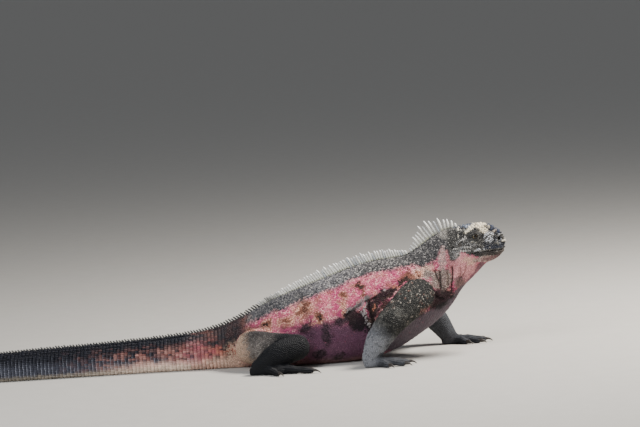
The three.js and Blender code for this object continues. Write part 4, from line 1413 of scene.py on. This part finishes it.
class Finish:
    """A material, and the nodes of its surface."""

    def __init__(self, name, **constants):
        self.material = bpy.data.materials.new(name)
        self.material.use_nodes = True
        self.tree = self.material.node_tree
        self.tree.nodes.clear()
        self.shader = self.tree.nodes.new("ShaderNodeBsdfPrincipled")
        output = self.tree.nodes.new("ShaderNodeOutputMaterial")
        self.tree.links.new(self.shader.outputs[0], output.inputs[0])
        for key, value in constants.items():
            self.shader.inputs[key.replace("_", " ")].default_value = value

    def node(self, kind, settings=None, inputs=None, output=0):
        """Adds a node with its settings, and the values or links of its sockets."""
        node = self.tree.nodes.new(kind)
        for key, value in (settings or {}).items():
            if key == "stops":
                while len(node.color_ramp.elements) < len(value):
                    node.color_ramp.elements.new(0.5)
                for element, (position, tint) in zip(node.color_ramp.elements, value):
                    element.position, element.color = position, tint
            else:
                setattr(node, key, value)
        for key, value in (inputs or {}).items():
            self.put(node.inputs[key], value)
        return Value(self, node.outputs[output])

    def put(self, socket, value):
        if isinstance(value, Value):
            self.tree.links.new(value.socket, socket)
        else:
            socket.default_value = value

    def math(self, operation, *values):
        return self.node("ShaderNodeMath", {"operation": operation}, dict(enumerate(values)))

    def greater_of(self, *values):
        total = values[0]
        for value in values[1:]:
            total = self.math("MAXIMUM", total, value)
        return total

    def edge(self, low, high, value):
        """0 at low, 1 at high, and smooth between."""
        return self.node(
            "ShaderNodeMapRange", {"interpolation_type": "SMOOTHSTEP"},
            {"Value": value, "From Min": low, "From Max": high},
        )

    def mix(self, share, first, second):
        settings = {"data_type": "RGBA"}
        first, second = (colour(c) if isinstance(c, str) else c for c in (first, second))
        return self.node("ShaderNodeMix", settings, {0: share, 6: first, 7: second}, output=2)

    def noise(self, scale, detail=2.0, rough=0.5, at=None, **settings):
        inputs = {"Scale": scale, "Detail": detail, "Roughness": rough, "Vector": at or self.place()}
        return self.node("ShaderNodeTexNoise", settings, inputs)

    def place(self):
        return self.node("ShaderNodeTexCoord", output="Object")

    def attribute(self, name, output="Fac"):
        return self.node("ShaderNodeAttribute", {"attribute_name": name}, output=output)

    def profile(self, value, pairs):
        """The broken line through pairs of places and values."""
        places, levels = zip(*pairs)
        low, high = min(levels), max(levels)
        stops = [
            ((place - places[0]) / (places[-1] - places[0]), ((level - low) / (high - low),) * 3 + (1,))
            for place, level in pairs
        ]
        inputs = {"Value": value, "From Min": places[0], "From Max": places[-1]}
        share = self.node("ShaderNodeMapRange", {}, inputs)
        return self.node("ShaderNodeValToRGB", {"stops": stops}, {0: share}) * (high - low) + low

    def shade(self, tint, light):
        """The colour made lighter or darker."""
        grey = self.node("ShaderNodeCombineColor", {}, {0: light, 1: light, 2: light})
        settings = {"data_type": "RGBA", "blend_type": "MULTIPLY"}
        return self.node("ShaderNodeMix", settings, {0: 1.0, 6: tint, 7: grey}, 2)

    def split(self, vector):
        node = self.node("ShaderNodeSeparateXYZ", {}, {0: vector})
        return [Value(self, socket) for socket in node.socket.node.outputs]

    def finish(self, **sockets):
        for key, value in sockets.items():
            self.put(self.shader.inputs[key.replace("_", " ")], value)
        return self.material


# Markings, and some patches of painted shade, seen from the side: each kind has its colour, how soft its
# edge is, and its ovals [x, z, half length, half height, turn]. Where it has a net, some of its scales take
# that second colour.
# They are laid one over another in this order.
MARKS = [
    # the lower flank a darker purple: partly its own colour, partly painted shade
    {"tint": "583b50", "soft": 0.7, "ovals": [
        (0.045, 0.026, 0.075, 0.028, 2), (-0.02, 0.02, 0.05, 0.018, 0),
    ]},
    {"tint": "e0a3a4", "soft": 0.5, "ovals": [
        (0.2035, 0.107, 0.016, 0.014, -35), (0.198, 0.096, 0.012, 0.014, -30),
    ]},
    {"tint": "e6c0b4", "soft": 0.5, "ovals": [(0.149, 0.101, 0.013, 0.007, 20)]},
    {"tint": "dfb4ae", "net": "ae9793", "soft": 0.6, "ovals": [(0.178, 0.118, 0.005, 0.019, -14)]},
    {"tint": "e2bba8", "soft": 0.5, "ovals": [
        (0.2095, 0.1115, 0.008, 0.005, -20), (0.157, 0.1045, 0.009, 0.005, 20),
    ]},
    {"tint": "bd8285", "soft": 0.5, "ovals": [(0.187, 0.109, 0.0056, 0.015, 0)]},
    # the throat's lower edge darker mauve: painted shade
    {"tint": "77575f", "soft": 0.7, "ovals": [
        (0.226, 0.103, 0.014, 0.003, 25), (0.21, 0.088, 0.016, 0.0036, 52),
    ]},
    {"tint": "a99a90", "net": "857770", "soft": 0.4, "ovals": [
        (0.1755, 0.0915, 0.015, 0.0115, 0), (0.162, 0.099, 0.009, 0.006, 15),
    ]},
    # the lower front edge of the chest and neck mauve-grey: painted shade
    {"tint": "625e66", "soft": 0.4, "ovals": [
        (0.15, 0.036, 0.034, 0.014, 38), (0.176, 0.053, 0.02, 0.011, 50), (0.196, 0.073, 0.012, 0.006, 52),
        (0.13, 0.02, 0.03, 0.012, 12), (0.134, 0.034, 0.028, 0.014, 42),
    ]},
    {"tint": "e2b09a", "net": "b97f69", "soft": 0.6, "ovals": [(0.1475, 0.099, 0.0075, 0.005, 15)]},
    {"tint": "1f1e20", "soft": 0.5, "ovals": [
        (0.1545, 0.0848, 0.01, 0.0065, -35), (0.167, 0.068, 0.013, 0.013, -40),
        (0.181, 0.074, 0.011, 0.007, -35), (0.145, 0.06, 0.01, 0.01, 0),
    ]},
    {"tint": "7d6663", "soft": 0.8, "ovals": [(0.197, 0.0865, 0.005, 0.01, -38)]},
    {"tint": "deac96", "net": "a8735e", "soft": 0.9, "ovals": [
        (0.0078, 0.0673, 0.0155, 0.01, 25), (-0.0382, 0.05, 0.0095, 0.007, 20),
        (0.0251, 0.0566, 0.008, 0.0075, 0), (0.0567, 0.0808, 0.006, 0.0065, 0),
        (0.0534, 0.0662, 0.004, 0.01, 5), (-0.058, 0.044, 0.009, 0.005, 0),
        (-0.012, 0.055, 0.012, 0.006, 10),
    ]},
    {"tint": "7a4b3c", "soft": 0.6, "ovals": [
        (0.135, 0.0984, 0.0105, 0.007, 14), (0.0787, 0.0903, 0.006, 0.005, 0),
        (0.08, 0.0825, 0.003, 0.0045, 0), (-0.0382, 0.0515, 0.006, 0.003, 10),
        (0.0262, 0.058, 0.0055, 0.0048, 0), (0.006, 0.064, 0.007, 0.003, 30),
        (0.057, 0.082, 0.0044, 0.0036, 0), (0.012, 0.073, 0.004, 0.002, 20),
        (-0.014, 0.0555, 0.0045, 0.002, 0),
    ]},
    {"tint": "35251f", "soft": 0.5, "ovals": [
        (0.1335, 0.0945, 0.006, 0.0032, 10), (0.0782, 0.0905, 0.004, 0.0034, 0),
        (0.0265, 0.057, 0.003, 0.0026, 0), (-0.0385, 0.0505, 0.0034, 0.0016, 0),
    ]},
    {"tint": "0b0c10", "soft": 0.5, "ovals": [
        (0.074, 0.0525, 0.015, 0.011, -30), (0.064, 0.059, 0.0095, 0.006, 12),
        (0.084, 0.044, 0.008, 0.006, -50), (0.0915, 0.064, 0.0095, 0.0115, -8),
        (0.0885, 0.05, 0.007, 0.008, 0), (0.102, 0.076, 0.011, 0.0066, 35),
        (0.115, 0.0815, 0.01, 0.005, 35), (0.125, 0.0915, 0.0036, 0.0036, 0),
    ]},
    {"tint": "1a1519", "net": "43303a", "soft": 0.8, "ovals": [
        (0.034, 0.038, 0.0062, 0.015, -8), (0.025, 0.015, 0.0075, 0.0055, 0),
        (0.0475, 0.011, 0.006, 0.0045, 0), (0.052, 0.052, 0.011, 0.004, 20),
        (0.01, 0.046, 0.008, 0.005, 30),
    ]},
    {"tint": "43302a", "soft": 0.6, "ovals": [
        (0.092, 0.064, 0.005, 0.0042, 0), (0.09, 0.0515, 0.0066, 0.003, 15),
        (0.106, 0.068, 0.0054, 0.0032, 30), (0.104, 0.06, 0.0054, 0.003, 20),
        (0.111, 0.0765, 0.0034, 0.0024, 0), (0.1252, 0.0918, 0.0022, 0.0022, 0),
    ]},
    {"tint": "b5745f", "soft": 0.5, "ovals": [
        (0.142, 0.09, 0.005, 0.0034, 30), (0.1204, 0.0875, 0.003, 0.002, 0),
        (0.0925, 0.0655, 0.0022, 0.0018, 0),
    ]},
    {"tint": "938d8c", "soft": 0.6, "ovals": [
        (0.061, 0.064, 0.006, 0.0034, 20), (0.072, 0.069, 0.008, 0.0038, 25),
        (0.085, 0.0765, 0.0078, 0.0032, 28), (0.0812, 0.066, 0.0014, 0.007, -28),
        (0.08, 0.056, 0.0014, 0.006, 22), (0.0845, 0.0465, 0.0012, 0.006, 25),
        (0.1071, 0.0835, 0.0022, 0.0018, 0),
    ]},
]
# The band along the back: how far it reaches below the back line, by place [x, depth].
BAND = [
    (-0.15, 0.008), (-0.085, 0.009), (-0.05, 0.0105), (-0.02, 0.0133), (0.055, 0.0126), (0.128, 0.011),
    (0.142, 0.0125), (0.156, 0.02), (0.17, 0.021), (0.178, 0.012), (0.185, 0.02),
]
# The lower edge of the head's dark skin [x, z], and the pale and dark patches on it, each with how many of
# its scales take the colour.
JAW_EDGE = [
    (0.184, 0.125), (0.187, 0.114), (0.192, 0.1125), (0.1965, 0.1165), (0.2, 0.1236), (0.208, 0.1199),
    (0.216, 0.118), (0.219, 0.1155), (0.236, 0.1142), (0.256, 0.116),
]
HEAD_MARKS = [
    {"tint": "838281", "much": 0.7, "ovals": [
        (0.207, 0.131, 0.013, 0.007, 0), (0.196, 0.12, 0.008, 0.008, 0),
    ]},
    {"tint": "b3b4b6", "much": 0.4, "ovals": [(0.2236, 0.1233, 0.0066, 0.0022, 0)]},
    # the navy on the crown's knobs: painted sky-blue shade
    {"tint": "2b3346", "much": 0.9, "ovals": [(0.207, 0.1532, 0.016, 0.0042, 0)]},
    {"tint": "8f98a6", "much": 0.26, "ovals": [(0.207, 0.1532, 0.016, 0.0042, 0)]},
    {"tint": "303238", "much": 0.75, "ovals": [
        (0.248, 0.134, 0.0085, 0.012, 0), (0.239, 0.1298, 0.013, 0.0028, 0),
    ]},
    {"tint": "8b8d92", "much": 0.22, "ovals": [(0.247, 0.136, 0.008, 0.01, 0)]},
    {"tint": "cbccd0", "much": 0.66, "ovals": [(0.2346, 0.1372, 0.006, 0.0062, 0)]},
    {"tint": "cbc6c0", "much": 0.62, "ovals": [(0.2053, 0.1388, 0.0042, 0.0029, 0)]},
    {"tint": "d9d2c2", "much": 1.0, "ovals": [
        (0.1988, 0.1418, 0.0014, 0.0014, 0), (0.2161, 0.1338, 0.0014, 0.001, 0),
        (0.219, 0.1322, 0.001, 0.0008, 0), (0.2519, 0.1312, 0.0014, 0.0013, 0),
        (0.1993, 0.1482, 0.002, 0.0014, 0),
    ]},
    {"tint": "e6dcc6", "much": 0.95, "ovals": [(0.2122, 0.148, 0.0074, 0.0016, 24)]},
    {"tint": "283044", "much": 0.95, "ovals": [(0.241, 0.148, 0.0085, 0.0052, -38)]},
    {"tint": "b9ab98", "much": 0.34, "ovals": [(0.2385, 0.149, 0.007, 0.0052, -38)]},
    {"tint": "e9dcc2", "much": 0.86, "ovals": [
        (0.227, 0.151, 0.0066, 0.0058, -10), (0.2315, 0.1462, 0.0036, 0.0034, -35),
    ]},
    {"tint": "353537", "much": 0.95, "ovals": [(0.2214, 0.1472, 0.0044, 0.0016, 6)]},
    {"tint": "283044", "much": 0.7, "ovals": [
        (0.2345, 0.1505, 0.0016, 0.0014, 0), (0.247, 0.1425, 0.0034, 0.003, -50),
    ]},
    {"tint": "1f2432", "much": 0.97, "ovals": [(0.2415, 0.1258, 0.014, 0.0026, 0)]},
    {"tint": "433e3c", "much": 0.8, "ovals": [(0.238, 0.119, 0.018, 0.003, 0)]},
    {"tint": "b8a79d", "much": 0.85, "ovals": [(0.228, 0.1118, 0.014, 0.0042, 3)]},
    {"tint": "574e4b", "much": 0.75, "ovals": [
        (0.24, 0.112, 0.011, 0.0034, 5), (0.25, 0.1165, 0.007, 0.005, 15),
    ]},
]


def oval(f, x, z, shape, soft):
    """How much of one oval mark there is at a point."""
    cx, cz, long, high, turn = shape
    c, s = math.cos(math.radians(turn)), math.sin(math.radians(turn))
    u = (x - cx) * (c / long) + (z - cz) * (s / long)
    w = (z - cz) * (c / high) - (x - cx) * (s / high)
    return f.edge(1 + soft, 1 - soft, u * u + w * w)


def hide():
    """The skin and its scales. The markings are read at each scale's root, so that a scale has one colour."""
    f = Finish("hide", Specular_IOR_Level=0.3)
    root = f.attribute("root", "Vector")
    x, y, z = f.split(root)
    tone, rise, drop, limb, along, crease = (
        f.attribute(key) for key in ("tone", "rise", "drop", "limb", "along", "crease")
    )
    coarse = f.noise(55, 3, 0.6, at=root)
    other = f.noise(60, 3, 0.6, at=root, noise_dimensions="4D")
    fine = f.noise(210, 2, 0.6, at=root)
    cloud = f.noise(110, 3, 0.7, at=root)
    grain = f.noise(700, 2, 0.7)
    chip = tone - 0.5
    other_tone = f.math("FRACT", tone * 37.0)
    px = x + (coarse - 0.5) * 0.016 + (fine - 0.5) * 0.013 + chip * 0.0025
    px = px + f.math("GREATER_THAN", y, 0.0) * 0.011
    pz = z + (other - 0.5) * 0.015 + (cloud - 0.5) * 0.011 + chip * 0.0025

    tint = f.mix(f.edge(0.35, 0.65, coarse), "c4527a", "cf7486")
    tint = f.mix(f.edge(0.48, 0.72, fine + chip * 0.3) * 0.6, tint, "eac0b4")
    tint = f.mix(f.edge(0.52, 0.66, cloud) * 0.6, tint, "a05f50")
    for kind in MARKS:
        masks = [oval(f, px, pz, shape, kind["soft"]) for shape in kind["ovals"]]
        own = kind["tint"]
        if "net" in kind:
            own = f.mix(f.edge(0.42, 0.60, other_tone * 0.5 + fine * 0.5), own, kind["net"])
        tint = f.mix(f.greater_of(*masks) * f.edge(-0.15, 0.3, fine + chip * 0.4) * 0.95, tint, own)
    mottled = oval(f, px, pz, (0.2020, 0.1060, 0.0220, 0.0190, -30), 0.5)
    mottled = mottled * f.edge(0.50, 0.62, fine + chip * 0.1)
    tint = f.mix(mottled * 0.38, tint, "ac6a80")
    belly = f.edge(0.012, 0.002, pz)
    tint = f.mix(belly * 0.6, tint, "8a7668")
    depth = f.profile(x, BAND)
    band = f.edge(0.003, -0.003, drop - depth + (coarse - 0.5) * 0.009 + (fine - 0.5) * 0.006 + chip * 0.003)
    charcoal = f.mix(f.edge(0.3, 0.7, fine), "5c5a5d", "838083")
    charcoal = f.mix(f.edge(0.04, 0.10, x) * 0.8, charcoal, f.mix(f.edge(0.3, 0.7, fine), "353435", "565453"))
    # pale salt on some of the band's scales
    speckle_share = f.edge(0.66, 0.84, tone) * (0.62 - f.edge(0.09, 0.15, x) * 0.28)
    charcoal = f.mix(speckle_share, charcoal, "b3aea8")
    charcoal = f.mix(f.edge(0.26, 0.10, tone) * 0.7, charcoal, "2b2a2b")
    charcoal = f.mix(f.edge(0.055, -0.025, x) * 0.62, charcoal, "313236")
    pale_nape = oval(f, px, pz, (0.1835, 0.1450, 0.0090, 0.0080, 0), 0.5)
    charcoal = f.mix(pale_nape * 0.6, charcoal, "97928a")
    tint = f.mix(band, tint, charcoal)

    skull = f.mix(f.edge(0.35, 0.7, fine), "373635", "605e5b")
    skull = f.mix(f.edge(0.80, 0.94, tone) * 0.42, skull, "9d9a94")
    skull = f.mix(f.edge(0.20, 0.08, tone) * 0.6, skull, "1b1a1b")
    ring = f.math("SUBTRACT", oval(f, x, z, (0.2186, 0.1398, 0.0100, 0.0078, 0), 0.15),
                  oval(f, x, z, (0.2186, 0.1398, 0.0060, 0.0042, 0), 0.3) * 0.6)
    hx, hz = px * 0.3 + x * 0.7, pz * 0.3 + z * 0.7
    hx = hx - f.math("GREATER_THAN", y, 0.0) * 0.0033
    for kind in HEAD_MARKS:
        masks = [oval(f, hx, hz, shape, 0.35) for shape in kind["ovals"]]
        speckle_share = f.edge(0.12, -0.12, other_tone - kind["much"] + (fine - 0.5) * 0.7)
        skull = f.mix(f.greater_of(*masks) * speckle_share * 0.92, skull, kind["tint"])
    skull = f.mix(ring * 0.3, skull, "2a2927")
    face = f.edge(0.1835, 0.1875, x + (coarse - 0.5) * 0.006 + chip * 0.002)
    face = face * f.edge(-0.0012, 0.0012, hz - f.profile(x, JAW_EDGE) + chip * 0.0016)
    jaw_marks = [shape for kind in HEAD_MARKS[-2:] for shape in kind["ovals"]]
    throat = f.greater_of(*[oval(f, hx, hz, shape, 0.4) for shape in jaw_marks])
    tint = f.mix(f.greater_of(face, throat * 0.85), tint, skull)
    boss = (float(BOSS[0]), float(BOSS[2]), 0.0040, 0.0042, 0)
    tint = f.mix(oval(f, x, z, boss, 0.2) * f.edge(0.1, 0.4, other_tone) * 0.85, tint, "b5a69c")
    own_x, _, own_z = f.split(f.place())
    # the dark middle of the jaw's round scale, a little forward: painted shade
    boss_shade = oval(f, own_x, own_z, (boss[0] + 0.0006, boss[1], 0.0013, 0.0016, 0), 0.4)
    tint = f.mix(boss_shade * 0.85, tint, "3b3735")
    streaked = f.math("GREATER_THAN", f.attribute("pale"), 0.5)
    tint = f.mix(streaked * 0.8, tint, "c2bfba")
    # the nostril's hole painted black: painted shade in the recess
    nostril_shade = (float(NOSTRIL[0]), float(NOSTRIL[2]), 0.0018, 0.0018 * NOSTRIL_TALL, 0)
    tint = f.mix(oval(f, own_x, own_z, nostril_shade, 0.35) * face, tint, "060606")
    # the gaps between the head's scales darkened: painted shade
    tint = f.mix(f.edge(0.34, 0.06, rise) * face * 0.45, tint, "1a1918")

    tail_share = f.edge(-0.080, -0.150, x + (coarse - 0.5) * 0.06 + chip * 0.02)
    off_limb = f.edge(0.5, 0.2, limb)
    streaks = f.noise(1, 2, 0.6, at=f.node("ShaderNodeCombineXYZ", {}, {0: x * 420, 1: y * 40, 2: z * 60}))
    sides = f.mix(f.edge(0.010, 0.025, z + (coarse - 0.5) * 0.008), "383a45", "0a0c18")
    # pale rear edges on the rings of tail scales: a painted glint
    ribs = f.edge(0.35, 0.62, f.attribute("backward")) * f.edge(0.3, 0.55, streaks)
    sides = f.mix(ribs * f.edge(0.031, 0.012, z) * 0.62, sides, "9698a3")
    ruddy = f.edge(0.45, 0.64, cloud + f.edge(-0.21, -0.11, x) * 0.18) * f.edge(-0.31, -0.18, x)
    ruddy = ruddy * f.edge(0.035, 0.024, z + (fine - 0.5) * 0.014 - f.edge(-0.16, -0.10, x) * 0.006)
    sides = f.mix(ruddy * 0.85, sides, f.mix(f.edge(0.4, 0.6, fine), "744640", "a97a71"))
    warm = f.edge(-0.26, -0.17, x) * f.edge(0.0165, 0.007, z + (streaks - 0.5) * 0.010)
    sides = f.mix(warm * 0.9, sides, "e0bcae")
    reach = f.edge(-0.30, -0.15, x) * 0.003
    under = f.edge(0.0075, 0.002, z - reach + (streaks - 0.5) * 0.006)
    sides = f.mix(under * 0.8, sides, f.mix(f.edge(-0.35, -0.15, x), "8d8372", "dcc9b6"))
    tint = f.mix(tail_share * off_limb, tint, sides)
    stern = f.edge(-0.052, -0.074, x + (coarse - 0.5) * 0.02)
    ruddy_root = f.mix(f.edge(0.4, 0.6, cloud), "a2604f", "3f2a28")
    stern = stern * f.edge(0.9, 0.1, tail_share) * off_limb
    tint = f.mix(stern, tint, ruddy_root)
    over = f.edge(0.022, 0.032, z + (fine - 0.5) * 0.014 + (cloud - 0.5) * 0.016)
    tint = f.mix(stern * over * 0.92, tint, "222126")
    pale_root = f.edge(0.020, 0.008, z + (streaks - 0.5) * 0.014 + (cloud - 0.5) * 0.012)
    tint = f.mix(pale_root * stern * 0.85, tint, "dfbca8")

    arm = f.mix(f.edge(0.40, 0.62, coarse + (fine - 0.5) * 0.4), "1d1d1c", "4c4b47")
    arm = f.mix(f.edge(0.42, 0.28, along + (coarse - 0.5) * 0.14 + (fine - 0.5) * 0.08) * 0.7, arm, "131413")
    arm = f.mix(oval(f, px, pz, (0.1600, 0.0780, 0.0160, 0.0140, -20), 0.6) * 0.8, arm, "0e0f10")
    arm = f.mix(f.edge(0.88, 0.97, other_tone) * f.edge(0.45, 0.35, along) * 0.5, arm, "a99f94")
    # the forearm grey: partly its own colour, partly painted sheen
    arm = f.mix(f.edge(0.45, 0.60, along + (coarse - 0.5) * 0.1) * 0.85, arm, "83858b")
    arm = f.mix(f.edge(0.60, 0.70, cloud) * f.edge(0.46, 0.3, along) * 0.8, arm, "8a6558")
    arm = f.mix(oval(f, px, pz, (0.1560, 0.0550, 0.0066, 0.0090, 20), 0.5) * 0.85, arm, "774a48")
    arm = f.mix(f.edge(0.72, 0.82, along), arm, "3a3c41")
    # the left foreleg, on the far side, darker: painted shade
    shaded = f.math("GREATER_THAN", y, 0.0)
    arm = f.mix(shaded * 0.75, arm, "20242d")
    thigh = f.mix(f.edge(0.4, 0.65, coarse), "4b4644", "77706b")
    thigh = f.mix(f.edge(0.60, 0.72, fine + chip * 0.2) * 0.5, thigh, "a39d95")
    thigh = f.mix(f.edge(0.034, 0.043, pz) * 0.85, thigh, "2f2a2a")
    pale_rear = f.edge(-0.056, -0.074, px) + f.edge(0.018, 0.004, pz) * f.edge(0.42, 0.3, along)
    thigh = f.mix(f.math("MINIMUM", pale_rear, 1.0) * 0.9, thigh, "c4a78f")
    # the shank and hind foot near black: partly their own dark colour, partly painted shade
    thigh = f.mix(f.edge(0.31, 0.37, along + (fine - 0.5) * 0.06), thigh, "07090f")
    leg = f.mix(f.edge(0.03, 0.06, x), thigh, arm)
    bright = f.edge(0.36, 0.30, along) + f.edge(0.04, 0.06, x) * 0.6
    leg = f.mix(f.edge(0.80, 0.95, tone) * bright * f.edge(0.7, 0.5, along) * 0.10, leg, "b5b2aa")
    leg = f.mix(f.edge(0.25, 0.1, tone) * 0.35, leg, "141415")
    tint = f.mix(f.edge(0.25, 0.75, limb + (fine - 0.5) * 0.6), tint, leg)
    rump = oval(f, px, pz, (-0.0740, 0.0200, 0.0150, 0.0140, 0), 0.7) * f.edge(0.36, 0.30, along)
    tint = f.mix(rump * f.edge(0.2, 0.6, other_tone) * 0.8, tint, "b79a86")
    border = oval(f, px, pz, (0.1270, 0.0785, 0.0200, 0.0022, 38), 0.5)
    tint = f.mix(border * f.edge(0.9, 0.3, limb) * 0.8, tint, "b97b68")

    # each scale lighter or darker by its random tone and the grain, darker towards its base and lighter at
    # its tip: painted shade between the scales, darkest on the bare skin at rise 0, and salt on the tips
    light = 1.0 + chip * 0.34 + (grain - 0.5) * 0.35 + f.edge(-0.1, 0.9, rise) * 0.22 - 0.16
    # the creases of the skin darker: painted shade
    tint = f.shade(tint, light * (1.0 - crease * 0.82))
    rough = 0.74 - rise * 0.16 + (grain - 0.5) * 0.2
    bump = f.node("ShaderNodeBump", {}, {"Strength": 0.5, "Distance": 0.0003, "Height": grain})
    return f.finish(Base_Color=tint, Roughness=rough, Normal=bump)


def horn(name, root, shaft, tip, odd, shadow):
    """Spines and claws: streaked horn, with a few of the spines in another colour."""
    f = Finish(name, Specular_IOR_Level=0.45)
    rise, tone = f.attribute("rise"), f.attribute("tone")
    streak = f.noise(420, 3, 0.6)
    base = f.attribute("root", "Vector")
    tint = f.mix(f.edge(0.0, 0.3, rise), root, shaft)
    tint = f.mix(f.edge(0.55, 1.0, rise) * 0.8, tint, tip)
    groups = f.edge(0.60, 0.66, f.noise(75, 2, 0.5, at=base) + (tone - 0.5) * 0.24)
    tint = f.mix(groups * 0.7, tint, odd)
    base_x, _, _ = f.split(base)
    rear = f.edge(-0.010, -0.042, base_x + (tone - 0.5) * 0.030)
    tint = f.mix(rear * 0.8, tint, "4a4a49")
    # the rear of each spine darker: painted shade
    tint = f.mix(f.edge(0.40, 0.85, f.attribute("backward")) * 0.7, tint, shadow)
    tint = f.shade(tint, streak * 0.3 + 0.85)
    bump = f.node("ShaderNodeBump", {}, {"Strength": 0.3, "Distance": 0.0003, "Height": streak})
    return f.finish(Base_Color=tint, Roughness=streak * 0.3 + 0.35, Normal=bump)


def eye_finish():
    f = Finish("eye", Coat_Weight=0.4, Coat_Roughness=0.06, Specular_IOR_Level=0.35)
    x, _, z = f.split(f.place())
    u, w = (x - float(EYE[0]) - 0.0004) / 0.0031, (z - float(EYE[2])) / 0.0029
    away = (u * u + w * w) ** 0.5
    ray = f.noise(900, 3, 0.6)
    iris = f.mix(f.edge(0.3, 0.7, ray), "2a1f16", "5c4a30")
    # the rear half of the iris lighter: painted light
    iris = f.mix(f.edge(-0.2, -0.8, u) * 0.5, iris, "857b62")
    tint = f.mix(f.edge(0.92, 1.08, away), iris, "120e0c")
    tint = f.mix(f.edge(0.60, 0.66, away) * f.edge(0.80, 0.70, away) * 0.25, tint, "7a684c")
    tint = f.mix(f.edge(0.62, 0.54, away), tint, "030303")
    return f.finish(Base_Color=tint, Roughness=ray * 0.1 + 0.15)


def drum_finish():
    f = Finish("eardrum", Specular_IOR_Level=0.4)
    cloud = f.noise(300, 3, 0.6)
    return f.finish(Base_Color=f.mix(cloud, "3b3836", "5a554f"), Roughness=cloud * 0.2 + 0.5)


def paint(pieces, material):
    for piece in pieces:
        piece.data.materials.clear()
        piece.data.materials.append(material)


HIDE = hide()
# the pale spines near white: their own pale colour, made brighter as a painted glow of backlight
PALE_HORN = horn("pale_spines", "bcb98e", "fbf8ee", "ffffff", "b3b9c0", "565952")
DARK_HORN = horn("dark_spines", "1c1c1e", "29292c", "454445", "4c4843", "161618")
CLAW_HORN = horn("claw", "2a2421", "352d27", "3a322c", "2a2421", "1c1816")
paint([SKIN] + [piece for piece in PIECES if piece.name.startswith("scales")], HIDE)
paint([piece for piece in PIECES if piece.name in ("crest_back", "crest_neck")], PALE_HORN)
paint([piece for piece in PIECES if piece.name in ("crest_tail", "crest_tail_tip")], DARK_HORN)
paint(CLAWS, CLAW_HORN)
paint([piece for piece in EYES_AND_EARS if piece.name.startswith("eyeball")], eye_finish())
paint([piece for piece in EYES_AND_EARS if piece.name.startswith("eardrum")], drum_finish())


# Floor and light


def add_floor():
    clear_selection()
    bpy.ops.mesh.primitive_plane_add(size=80, location=(0, 0, 0))
    floor = bpy.context.object
    floor.name = "floor"
    f = Finish("floor", Specular_IOR_Level=0.2)
    speck = f.noise(40, 4, 0.6)
    paint([floor], f.finish(Base_Color=f.mix(speck, "b4b1ab", "bebbb6"), Roughness=speck * 0.1 + 0.8))


def add_light(name, place, size, power, tint):
    data = bpy.data.lights.new(name, "AREA")
    data.shape, data.size, data.energy, data.color = "DISK", size, power, tint
    light = bpy.data.objects.new(name, data)
    bpy.context.scene.collection.objects.link(light)
    light.location = place
    light.rotation_euler = (Vector((0, 0, 0.06)) - Vector(place)).to_track_quat("-Z", "Y").to_euler()


add_floor()
add_light("key", (0.95, 0.16, 1.22), 0.5, 54, (1, 0.95, 0.88))
add_light("fill", (-0.8, -1.6, 1.2), 1.1, 34, (0.93, 0.96, 1))
world = bpy.data.worlds.new("studio")
world.use_nodes = True
world.node_tree.nodes["Background"].inputs[0].default_value = (0.86, 0.90, 0.96, 1)
world.node_tree.nodes["Background"].inputs[1].default_value = 0.25
bpy.context.scene.world = world
